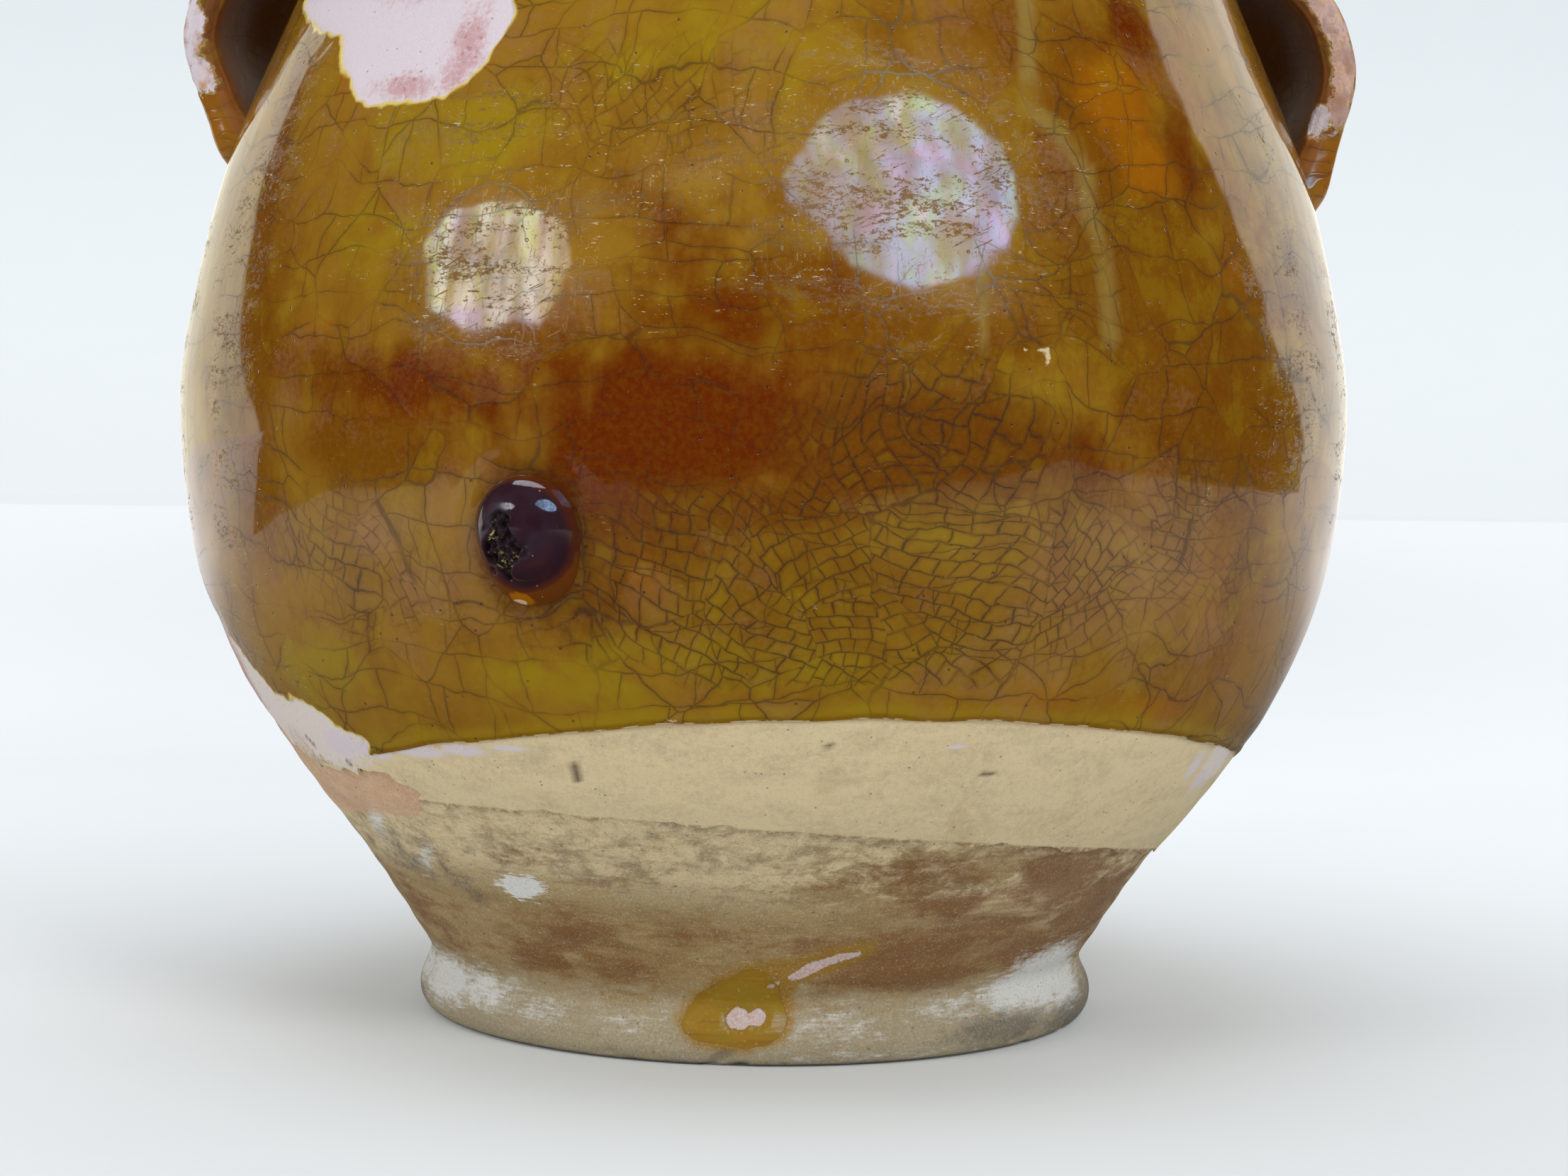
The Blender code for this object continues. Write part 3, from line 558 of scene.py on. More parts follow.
def ripple(spots, wavelength, seed, waves=10):
    """Smooth unevenness of about plus or minus one at points in millimetres."""
    dice = np.random.default_rng(seed)
    total = np.zeros(len(spots))
    for _ in range(waves):
        heading = dice.normal(size=3)
        heading /= np.linalg.norm(heading)
        stretch = wavelength * dice.uniform(0.7, 1.5)
        total += np.sin(spots @ heading * (2 * math.pi / stretch) + dice.uniform(0, 2 * math.pi))
    return total / math.sqrt(waves / 2) / 1.6


def round_trip(azimuth):
    """An azimuth difference brought to between -180 and 180."""
    return (azimuth + 180) % 360 - 180


def spread_places(places, azimuth, height, radius):
    """How much of the soft places lies at each point: 1 in the middle of a full one."""
    total = np.zeros(len(azimuth))
    for at, up, half_width, half_height, strength, *lean in places:
        across = np.radians(round_trip(azimuth - at)) * radius / MM
        rise = height / MM - up
        turn = math.radians(sum(lean))
        x = (across * math.cos(turn) + rise * math.sin(turn)) / half_width
        y = (-across * math.sin(turn) + rise * math.cos(turn)) / half_height
        total = np.maximum(total, strength * np.exp(-0.9 * (x * x + y * y)))
    return total


def stretch_distance(across, up, run, rise):
    """Distance from points to a straight stretch from nought by a run and a rise."""
    share = np.clip((across * run + up * rise) / (run * run + rise * rise + 1e-12), 0, 1)
    return np.hypot(across - share * run, up - share * rise)


def outline_distance(outline, side, azimuth, height):
    """Distance in millimetres from points on the wall to an outline there, negative inside it."""
    outline = np.asarray(outline, float)
    middle = outline[:, 0].mean()
    across = np.radians(round_trip(azimuth - middle)) * side.radius_at(height) / MM
    up = height / MM
    reach = side.radius_at(outline[:, 1] * MM) / MM
    corners = np.stack((np.radians(outline[:, 0] - middle) * reach, outline[:, 1]), 1)
    least = np.full(len(across), 1e9)
    inside = np.zeros(len(across), bool)
    for (x0, y0), (x1, y1) in zip(corners, np.roll(corners, -1, axis=0)):
        run, rise = x1 - x0, y1 - y0
        least = np.minimum(least, stretch_distance(across - x0, up - y0, run, rise))
        crosses = (y0 > up) != (y1 > up)
        where = x0 + (up - y0) * run / (rise if rise else 1e-12)
        inside ^= crosses & (across < where)
    return np.where(inside, -least, least)


def path_distance(path, side, azimuth, height):
    """Distance in millimetres from points on the wall to a path of (azimuth, height) places."""
    reach = side.radius_at(height) / MM
    least = np.full(len(azimuth), 1e9)
    for (turn0, up0), (turn1, up1) in zip(path, path[1:]):
        across = np.radians(round_trip(azimuth - turn0)) * reach
        up = height / MM - up0
        run, rise = np.radians(turn1 - turn0) * reach, up1 - up0
        least = np.minimum(least, stretch_distance(across, up, run, rise))
    return least


def nearest(distance, shapes, side, azimuth, height):
    """Distance to the nearest of several outlines or paths."""
    return np.minimum.reduce([distance(shape, side, azimuth, height) for shape in shapes])


def way_above(line, side, azimuth, height):
    """The way in millimetres along the wall from a coat's lower line up to points."""
    return (side.way_at(height) - side.way_at(line(azimuth) * MM)) / MM


def glaze_line(azimuth):
    """Height of the outer glaze's lower line in millimetres."""
    turn = np.radians(azimuth - 10.0)
    return 55.9 + 11.0 * np.cos(turn) + 5.1 * np.cos(2 * turn)


def slip_line(azimuth):
    """Height of the slip's lower line in millimetres."""
    return 39.5 + 11.5 * np.cos(np.radians(azimuth + 30.0))


# Meshes

def sheet(azimuths, heights, closed=True):
    """Azimuth and height of each point of a sheet on the wall, and its triangles."""
    columns = len(azimuths)
    azimuth = np.tile(azimuths, len(heights))
    height = np.repeat(heights, columns)
    right = np.arange(columns) if closed else np.arange(columns - 1)
    base = (np.arange(len(heights) - 1) * columns)[:, None]
    a = (base + right).ravel()
    b = (base + (right + 1) % columns).ravel()
    c, d = a + columns, b + columns
    faces = np.concatenate((np.stack((a, b, d), 1), np.stack((a, d, c), 1)))
    return azimuth, height, faces


def cut(azimuth, height, faces, keep):
    """The part of a sheet where keep is positive, with its edge where keep is nought."""
    inside = keep > 0
    count = inside[faces].sum(1)
    part = faces[(count == 1) | (count == 2)]
    lone_in = inside[part].sum(1) == 1
    first = (inside[part] == lone_in[:, None]).argmax(1)
    part = part[np.arange(len(part))[:, None], (first[:, None] + np.arange(3)) % 3]
    a, b, c = part.T
    pairs = np.sort(np.concatenate((np.stack((a, b), 1), np.stack((a, c), 1))), axis=1)
    ends, where = np.unique(pairs, axis=0, return_inverse=True)
    where = where.ravel()
    share = np.clip(keep[ends[:, 0]] / (keep[ends[:, 0]] - keep[ends[:, 1]]), 0.03, 0.97)
    new_azimuth = azimuth[ends[:, 0]] + round_trip(azimuth[ends[:, 1]] - azimuth[ends[:, 0]]) * share
    new_height = height[ends[:, 0]] + (height[ends[:, 1]] - height[ends[:, 0]]) * share
    ab = len(azimuth) + where[:len(part)]
    ac = len(azimuth) + where[len(part):]
    out = ~lone_in
    faces = np.concatenate((
        faces[count == 3],
        np.stack((a, ab, ac), 1)[lone_in],
        np.stack((ab, b, c), 1)[out],
        np.stack((ab, c, ac), 1)[out],
    ))
    azimuth = np.concatenate((azimuth, new_azimuth))
    height = np.concatenate((height, new_height))
    used, faces = np.unique(faces, return_inverse=True)
    return azimuth[used], height[used], faces.reshape(-1, 3)


def border(faces):
    """Edges that only one triangle has, in that triangle's sense."""
    edges = np.concatenate((faces[:, [0, 1]], faces[:, [1, 2]], faces[:, [2, 0]]))
    _, at, count = np.unique(np.sort(edges, axis=1), axis=0, return_index=True, return_counts=True)
    return edges[at[count == 1]]


def at_azimuth(azimuth, radius, height):
    """Points at azimuths, radii and heights."""
    turn = np.radians(azimuth)
    return np.stack((radius * np.sin(turn), -radius * np.cos(turn), height), 1)


def wall_point(side, azimuth, height, off):
    """Points that stand off the clay's outside by a distance along its normal."""
    radius, out, up, _ = side.read(height)
    return at_azimuth(azimuth, radius + off * out, height + off * up)


def made_piece(name, spots, faces, marks, material, node):
    """A piece of the pot from its points, faces and marks; it replaces its CAD node and rides on the pot."""
    mesh = bpy.data.meshes.new(name)
    mesh.from_pydata(spots, [], faces)
    mesh.validate()
    for mark, values in marks.items():
        layer = mesh.attributes.new(mark, "FLOAT", "POINT")
        layer.data.foreach_set("value", np.asarray(values, np.float32))
    mesh.shade_smooth()
    mesh.materials.append(material)
    piece = bpy.data.objects.new(name, mesh)
    bpy.context.scene.collection.objects.link(piece)
    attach(piece, "root")
    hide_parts(node)


def coat_piece(name, side, skin, outer, inner, marks, material, node):
    """A thin coat on the wall: its face, its edges down to its inner face, and marks for its material."""
    azimuth, height, faces = skin
    edge = border(faces)
    rim, where = np.unique(edge, return_inverse=True)
    where = where.reshape(-1, 2)
    count, rims = len(azimuth), len(rim)
    face = wall_point(side, azimuth, height, outer)
    foot = wall_point(side, azimuth[rim], height[rim], inner)
    top, low = count + where, count + rims + where
    walls = np.concatenate((
        np.stack((top[:, 1], top[:, 0], low[:, 0]), 1), np.stack((top[:, 1], low[:, 0], low[:, 1]), 1)
    ))
    spots = np.concatenate((face, face[rim], foot))
    marks = {mark: np.concatenate((values, values[rim], values[rim])) for mark, values in marks.items()}
    marks["rim"] = np.concatenate((np.zeros(count), np.ones(2 * rims)))
    made_piece(name, spots, np.concatenate((faces, walls)), marks, material, node)


def turned_faces(rows, columns):
    """Triangles of a form turned all round, rows by columns."""
    _, _, faces = sheet(np.arange(columns), np.arange(rows))
    return faces


def turned(line, azimuths):
    """Points of a (radius, height) line turned about the axis."""
    radius, height = (np.repeat(line[:, k], len(azimuths)) for k in range(2))
    return at_azimuth(np.tile(azimuths, len(line)), radius, height)


def placed(azimuth):
    """The turn that brings local right, outward and up to an azimuth on the pot, for points in rows."""
    turn = math.radians(azimuth)
    return np.array(((math.cos(turn), math.sin(turn), 0), (math.sin(turn), -math.cos(turn), 0), (0, 0, 1)))


def headings(line):
    """The heading of an open (radius, height) line at each of its points."""
    along = np.vstack((line[1:], line[-1])) - np.vstack((line[0], line[:-1]))
    return along / np.hypot(*along.T)[:, None]


def offset(points, distance):
    """The open (radius, height) line moved to its left, seen along its run."""
    points = np.asarray(points, float)
    along = headings(points)
    return points + np.stack((-along[:, 1], along[:, 0]), 1) * distance


def inner_profile(sizes):
    """The clay's inside from the middle of the floor up to the rim's land."""
    wall = offset(wall_keys(sizes)[1:], sizes.wall_thickness)
    floor_edge = (sizes.floor_radius, sizes.floor_thickness)
    turn = between(floor_edge, wall[0], [(rise, run) for run, rise in FLOOR_TURN_SHARES])
    throat = (sizes.neck_radius - sizes.wall_thickness, neck_height(sizes))
    mouth = (land_outer_radius(sizes) - sizes.rim_land_width, top_height(sizes))
    lip = between(throat, mouth, LIP_INNER_SHARES)
    curve = curve_through([floor_edge, *turn, *wall[:-1], throat, *lip, mouth], 8)
    floor = np.stack((np.linspace(0, sizes.floor_radius, 24)[:-1], np.full(23, sizes.floor_thickness)), 1)
    return np.vstack((floor, curve))


# Materials

class Value:
    """One output of some nodes; arithmetic on it adds Math nodes."""

    def __init__(self, nodes, socket):
        self.nodes = nodes
        self.socket = socket

    def math(self, operation, first, second):
        return self.nodes.node("Math", {0: first, 1: second}, operation=operation)

    def __add__(self, other):
        return self.math("ADD", self, other)

    def __sub__(self, other):
        return self.math("SUBTRACT", self, other)

    def __rsub__(self, other):
        return self.math("SUBTRACT", other, self)

    def __mul__(self, other):
        return self.math("MULTIPLY", self, other)

    def __or__(self, other):
        return self.math("MAXIMUM", self, other)

    __radd__ = __add__
    __rmul__ = __mul__


class Nodes:
    """The nodes of a material or of the world."""

    def __init__(self, owner):
        owner.use_nodes = True
        self.tree = owner.node_tree
        self.tree.nodes.clear()

    def node(self, kind, sockets=None, output=0, **settings):
        """A node of a kind, with its settings first and then its sockets' values or links."""
        made = self.tree.nodes.new("ShaderNode" + kind)
        for key, value in settings.items():
            setattr(made, key, value)
        for key, value in (sockets or {}).items():
            if isinstance(value, Value):
                self.tree.links.new(value.socket, made.inputs[key])
            elif made.inputs[key].type == "RGBA" and len(value) == 3:
                made.inputs[key].default_value = (*value, 1)
            else:
                made.inputs[key].default_value = value
        return Value(self, made.outputs[output]) if made.outputs else None


class Finish(Nodes):
    """A material in the making, with the pot's coordinates in millimetres and the colour laid so far."""

    def __init__(self, name, colours=None, ground=""):
        self.material = bpy.data.materials.new(name)
        super().__init__(self.material)
        self.colours = colours
        self.colour = getattr(colours, ground, None)
        self.spot = self.stretched((1 / MM,) * 3, self.node("TexCoord", output="Object"))

    def stretched(self, scale, place=None):
        return self.node("VectorMath", {0: place or self.spot, 1: scale}, operation="MULTIPLY")

    def moved(self, place, by, reach=(1, 1, 1)):
        return self.node("VectorMath", {0: by, 1: reach, 2: place}, operation="MULTIPLY_ADD")

    def part(self, axis):
        return self.node("SeparateXYZ", {0: self.spot}, axis)

    def mark(self, name):
        return self.node("Attribute", output="Fac", attribute_name=name)

    def noise(self, scale, detail=2, roughness=0.5, bend=0, stretch=None, place=None, output=0):
        if stretch:
            place = self.stretched(stretch, place)
        sockets = {"Scale": scale, "Detail": detail, "Roughness": roughness, "Distortion": bend}
        return self.node("TexNoise", {**sockets, "Vector": place or self.spot}, output)

    def cells(self, scale, place=None, output=0, feature="F1"):
        sockets = {"Scale": scale, "Vector": place or self.spot}
        return self.node("TexVoronoi", sockets, output, feature=feature)

    def step(self, value, low, high):
        """0 below low, 1 above high, smooth between; low may be the greater."""
        if low > high:
            return 1 - self.step(value, high, low)
        return self.node("MapRange", {0: value, 1: low, 2: high}, interpolation_type="SMOOTHSTEP")

    def dots(self, scale, reach, core):
        """Dots, one to a cell: whole within the core and gone beyond their reach."""
        return self.step(self.cells(scale), reach, core)

    def patchy(self, mark, grain, low, high, amount):
        """A soft mark with its edge broken up by a grain of 0 to 1."""
        return self.step(self.mark(mark) + (grain - 0.5) * amount, low, high)

    def blend(self, share, under, over):
        return self.node("Mix", {0: share, 6: under, 7: over}, 2, data_type="RGBA")

    def lay(self, tone, share):
        """Lay a colour, by its name or as it is, over a share of the surface."""
        over = getattr(self.colours, tone) if isinstance(tone, str) else tone
        self.colour = self.blend(share, self.colour, over)

    def done(self, roughness, bump, bump_mm, films=(), **fixed):
        """The shader: what varies goes in by links and the rest stays on its sockets.

        Each film is a share of the surface where a thin weathered skin tints the gloss.
        """
        normal = self.node("Bump", {"Height": bump, "Distance": bump_mm * MM, "Strength": 1.0})
        sockets = {"Base Color": self.colour, "Roughness": roughness, "Normal": normal, **fixed}
        shader = self.node("BsdfPrincipled", sockets)
        for share, thickness in zip(films, FILM_THICKNESSES):
            film = {"Thin Film Thickness": thickness, "Thin Film IOR": FILM_IOR}
            skin = self.node("BsdfPrincipled", {**sockets, **film})
            shader = self.node("MixShader", {0: share, 1: shader, 2: skin})
        self.node("OutputMaterial", {"Surface": shader})
        return self.material


def clay_finish(colours):
    """Fired clay with its thin wash, brown where it shows bare, white and sooty at the foot."""
    clay = Finish("fired_clay", colours, "cream")
    broad = clay.noise(0.055, 5, 0.65, 0.5, (1, 1, 2))
    lean = clay.noise(0.12, 5, 0.7, 0.5, (1, 1, 2))
    mottle = clay.noise(0.36, 5, 0.75)
    grain = clay.noise(1.3, 4, 0.8)
    sand = clay.noise(2.4, 3, 0.8)
    cloud = broad * 0.35 + lean * 0.35 + mottle * 0.3
    mixed = lean * 0.5 + mottle * 0.5
    slurry = cloud * 0.6 + clay.noise(0.22, 5, 0.7, stretch=(0.35, 0.35, 2.2)) * 0.4
    streaks = clay.noise(0.16, 5, 0.7, 0.4, (0.5, 0.5, 3))
    drag = clay.noise(0.9, 4, 0.7, stretch=(0.25, 0.25, 1.6))
    clay.lay("clay", clay.step(cloud, 0.42, 0.6))
    clay.lay("ochre", clay.patchy("wash", cloud, 0.75, 0.25, 2.6) * 0.8)
    clay.lay("ochre", clay.patchy("ochre", lean, 0.25, 0.8, 2.6) * 0.7)
    clay.lay("clay_brown", clay.patchy("brown", slurry, 0.2, 0.85, 3.2) * 0.85)
    clay.lay("clay_brown", clay.step(streaks, 0.5, 0.66) * 0.35)
    clay.lay("ash", clay.step(clay.part("Z") + (lean - 0.5) * 14, 17, 8) * 0.55)
    salt = clay.patchy("salt", drag * 0.5 + mottle * 0.3 + grain * 0.2, 0.2, 0.95, 3.2)
    clay.lay("salt", salt * 0.82)
    clay.lay("grey", clay.patchy("grey", mixed, 0.3, 0.9, 2) * 0.7)
    stained = clay.patchy("stained", mixed, 0.15, 0.85, 1.4)
    clay.lay("run", stained * 0.92)
    clay.lay("clay_pink", clay.patchy("fresh", mottle, 0.25, 0.95, 1.8) * 0.75)
    clay.lay("salt", clay.patchy("oblong", drag, 0.35, 0.55, 2) * 0.85)
    flesh = clay.blend(clay.step(grain, 0.35, 0.6), colours.clay_pink, colours.lilac)
    clay.lay(flesh, clay.patchy("chip", grain, 0.4, 0.6, 1.2) * 0.9)
    speck = clay.dots(0.55, 0.2, 0.1) * clay.step(clay.noise(0.5), 0.52, 0.6)
    clay.lay("grey", speck * 0.5)
    clay.lay("grey", clay.patchy("sooty", mottle, 0.4, 0.9, 1) * 0.7)
    clay.lay("clay_brown", clay.step(sand, 0.5, 0.68) * 0.36)
    clay.lay("salt", clay.step(sand, 0.46, 0.3) * 0.32)
    clay.lay("grey", clay.dots(0.9, 0.16, 0.08) * clay.step(mottle, 0.48, 0.56) * 0.6)
    turning = clay.noise(1, stretch=(0.03, 0.03, 1.1))
    relief = grain * 0.5 + turning * 0.3 + mottle * 0.3 - speck * 0.3
    return clay.done(0.86 - salt * 0.04 - stained * 0.3, relief, 0.35, IOR=1.45)


def slip_finish(colours):
    """White slip: cream with specks under the glaze line, lilac white and stained where it is newly bare."""
    slip = Finish("white_slip", colours, "cream")
    grain = slip.noise(2.6, 3, 0.8)
    smear = slip.noise(0.1, 5, 0.7, 0.5, (0.8, 0.8, 2.2))
    mottle = slip.noise(0.75, 5, 0.75)
    blot = slip.noise(0.075, 4, 0.6, 0.6)
    slip.lay("clay", slip.step(mottle * 0.5 + smear * 0.5, 0.42, 0.7) * 0.5)
    slip.lay("ochre", slip.step(blot, 0.55, 0.8) * 0.3)
    edge = slip.step(slip.mark("way_mm"), 0.9, 0.1)
    slip.lay("clay_brown", edge * slip.step(mottle, 0.3, 0.6) * 0.75)
    slip.lay("clay_brown", slip.patchy("glaze_mm", mottle, 1.1, 0.1, 2) * 0.35)
    fresh = slip.blend(slip.step(slip.part("Z"), 130, 90) * 0.75, colours.lilac, colours.bone)
    slip.lay(fresh, slip.patchy("lilac", mottle, 0.3, 0.6, 1.4))
    slip.lay("pink", slip.patchy("stain", blot * 0.4 + mottle * 0.6, 0.35, 1, 2.6) * 0.65)
    holes = slip.dots(0.5, 0.28, 0.12) * slip.patchy("stain", blot, 0.35, 0.8, 2)
    slip.lay("pink", holes * 0.75)
    speck = slip.dots(0.62, 0.17, 0.08) * slip.step(slip.noise(0.3), 0.5, 0.62)
    slip.lay("craze", speck * 0.6)
    slip.lay("lilac", slip.patchy("chip", grain * 0.5 + mottle * 0.5, 0.4, 0.6, 2.4) * 0.85)
    slip.lay("craze", slip.mark("scar") * 0.8)
    slip.lay("clay_brown", slip.step(grain, 0.5, 0.7) * 0.16)
    slip.lay("salt", slip.step(grain, 0.46, 0.3) * 0.2)
    relief = grain * 0.7 - holes * 0.7 - speck * 0.3 + mottle * 0.3
    return slip.done(0.8 - grain * 0.1, relief, 0.1, IOR=1.45)


def crazed(glaze, dense):
    """Craze lines with their dark fringe, and tints for each small cell and each plate.

    Long lines wander round the pot. Where the craze is dense, plates between them are filled with a net of
    small cells, turned a little from plate to plate.
    """
    turn = glaze.node("Math", {0: glaze.part("X"), 1: glaze.part("Y") * -1}, operation="ARCTAN2")
    flat = glaze.node("CombineXYZ", {0: turn * CRAZE_RADIUS, 1: glaze.part("Z")})
    for scale, detail, reach in CRAZE_BENDS:
        flat = glaze.moved(flat, glaze.noise(scale, detail, output="Color"), (reach, reach, 0))
    plate = glaze.cells(1 / PLATE_SIZE, flat, "Color")
    hue = glaze.node("SeparateColor", {0: plate})
    leaning = glaze.node("VectorRotate", {"Vector": flat, "Angle": (hue - 0.5) * 2.4}, rotation_type="Z_AXIS")
    rim = glaze.cells(1 / PLATE_SIZE, flat, feature="DISTANCE_TO_EDGE") * PLATE_SIZE

    def net(place, width, height, reach, output):
        sockets = {
            "Vector": place, "Color1": (0, 0, 0), "Color2": (1, 1, 1), "Mortar": (0.5, 0.5, 0.5), "Scale": 1,
            "Mortar Size": reach, "Mortar Smooth": 1, "Brick Width": width, "Row Height": height,
        }
        return glaze.node("TexBrick", sockets, output, offset=0.42, squash=1.3, squash_frequency=3)

    shifted = glaze.moved(leaning, plate, (40, 40, 0))
    fine, tint = (net(shifted, *FINE_CRAZE, output) for output in ("Fac", "Color"))
    long = net(flat, *LONG_CRAZE, "Fac") | glaze.step(rim, 1.1, 0)
    faint = glaze.step(glaze.noise(0.06, 3), 0.36, 0.58)
    broken = glaze.step(glaze.noise(0.17), 0.36, 0.5)
    fine_line = glaze.step(fine, 0.86, 0.99) * dense * (broken * 0.65 + 0.35)
    long_line = glaze.step(long, 0.915, 0.995) * (faint * 0.6 + 0.2)
    fringe = (fine * dense) | (long * faint * 0.6)
    return fine_line | long_line, fringe, tint, hue


def glaze_finish(colours):
    """The outer glaze: olive to red over slip, crazed, scratched and flecked with chips and painted glints,
    with bright broken edges.
    """
    glaze = Finish("amber_glaze", colours, "olive")
    broad = glaze.noise(0.035, 4, 0.55, 0.5)
    middle = glaze.noise(0.12, 4, 0.6)
    grain = glaze.noise(0.9, 3, 0.7)
    cloud = broad * 0.5 + middle * 0.3 + glaze.noise(0.16, 4, 0.65, stretch=(1, 1, 0.18)) * 0.2
    other = glaze.noise(0.075, 4, 0.6, 0.4)
    glaze.lay("brown", glaze.step(cloud, 0.42, 0.62) * 0.4)
    for tone, mark, grains, low, high, amount, share in (
        ("yellow", "yellow", other, 0.2, 0.85, 2.2, 0.7), ("brown", "umber", cloud, 0.15, 0.85, 1.6, 0.95),
        ("amber", "amber", other, 0.3, 1, 1.2, 0.75), ("red", "red", cloud, 0.12, 0.72, 1.8, 0.97),
        ("haze", "haze", other, 0.3, 0.9, 1.4, 0.5), ("yellow", "line_mm", middle, 5.5, 0.5, 6, 0.55),
        ("brown", "line_mm", middle, 1.5, 0.5, 1.6, 0.55),
    ):
        glaze.lay(tone, glaze.patchy(mark, grains, low, high, amount) * share)
    glaze.lay("shadow", glaze.mark("halo") * 0.8)
    glaze.lay("streak", glaze.mark("streak") * glaze.step(middle, 0.2, 0.5) * 0.85)
    dense = glaze.patchy("crazed", cloud, 0.3, 0.7, 1.2)
    lines, fringe, tint, plate = crazed(glaze, dense)
    hue = plate * 0.18 + middle * 0.5 + grain * 0.32
    calm = 1 - glaze.step(glaze.mark("red"), 0.2, 0.7)
    glaze.lay("moss", dense * 0.35)
    glaze.lay("haze", glaze.step(hue, 0.52, 0.66) * calm * 0.24)
    glaze.lay("yellow", glaze.step(hue, 0.46, 0.36) * calm * 0.28)
    glaze.lay("yellow", glaze.step(tint, 0.6, 0.95) * dense * 0.18)
    glaze.lay("brown", glaze.step(tint, 0.4, 0.05) * dense * 0.2)
    glaze.lay("craze", fringe * 0.28)
    glaze.lay("craze", lines * 0.62)
    slant = glaze.node("VectorRotate", {"Vector": glaze.spot, "Angle": 0.5}, rotation_type="Y_AXIS")
    level = (0.35, 0.35, 1.6)
    worn = glaze.mark("worn") + (other - 0.5) * 1.6
    where = glaze.step(worn, 0.25, 0.9)
    clumps = glaze.step(glaze.noise(0.12, 4, 0.75, 0.6, level), 0.4, 0.6)
    torn = glaze.step(glaze.noise(0.75, 5, 0.9, stretch=(0.7, 0.7, 1.5)) + clumps * 0.14, 0.655, 0.68)
    cuts = glaze.step(glaze.noise(0.6, 5, 0.75, stretch=(0.25, 0.25, 2.6), place=slant), 0.62, 0.65)
    gouge = torn * where | cuts * where
    scratch = glaze.step(glaze.noise(0.8, 4, 0.75, stretch=(2.2, 2.2, 0.16)), 0.6, 0.66) * where
    clusters = glaze.step(glaze.noise(0.1, 3, 0.7), 0.44, 0.6)
    # Flecks: small chips in worn places, partly painted glints where the highlights fall
    flecks_and_glints = glaze.step(glaze.noise(1.1, 3, 0.85, stretch=level) + clusters * 0.05, 0.68, 0.71)
    flecks_and_glints = flecks_and_glints * glaze.step(worn, 0, 0.5)
    pits = glaze.dots(0.23, 0.09, 0.05)
    thin = glaze.step(glaze.mark("line_mm"), 0.4, 0.15) * glaze.step(glaze.noise(0.3, 3), 0.46, 0.58)
    broken_edge = glaze.mark("rim") * glaze.step(glaze.mark("flake_mm"), 4, 2)
    glaze.lay("gouge", gouge * 0.8)
    glaze.lay("scratch", scratch * 0.22)
    # Flecks laid cream-white: partly chips, partly painted glints
    glaze.lay("scratch", flecks_and_glints * 0.8)
    glaze.lay("craze", pits * 0.6)
    glaze.lay("yellow", glaze.step(grain, 0.35, 0.75) * 0.12)
    # Nicks laid in cream; the arc among them is a painted glint on a burst bubble's rim
    glaze.lay("cream", glaze.patchy("nick", grain, 0.6, 0.8, 0.8) * 0.85)
    glaze.lay("cream", thin * 0.7)
    glaze.lay("break_rim", glaze.patchy("flake_mm", middle, 0.9, 0.1, 2) * 0.8)
    glaze.lay("break_rim", broken_edge * 0.9)
    shine = 0.03 + gouge * 0.6 + scratch * 0.3 + flecks_and_glints * 0.4 + lines * 0.2 + grain * 0.03
    relief = 0.5 - scratch * 0.08 - gouge * 0.3 - pits * 0.8 - flecks_and_glints * 0.2
    films = (glaze.step(glaze.noise(0.06, 3), 0.4, 0.6), glaze.step(other, 0.5, 0.64) * 0.6)
    return glaze.done(shine, relief, 0.1, films, IOR=1.62)


def lining_finish(colours):
    """The glaze inside: brown amber with turning lines, crazed and stained towards the floor."""
    lining = Finish("lining_glaze", colours, "lining")
    broad = lining.noise(0.03, 4, 0.6)
    rings = lining.noise(0.4, 3, stretch=(0.05, 0.05, 1))
    grain = lining.noise(0.9, 3)
    lines, _, tint, _ = crazed(lining, lining.step(broad, 0.3, 0.5))
    lining.lay("brown", lining.step(broad, 0.35, 0.7) * 0.7)
    lining.lay("olive", lining.step(rings, 0.5, 0.7) * 0.35)
    lining.lay("yellow", lining.step(tint, 0.7, 0.9) * 0.2)
    lining.lay("craze", lines * 0.6)
    lining.lay("cream", lining.mark("rim") * 0.8)
    relief = 0.5 - lines * 0.4 + rings * 0.6
    return lining.done(0.16 + grain * 0.12 + lines * 0.1, relief, 0.15, IOR=1.6)


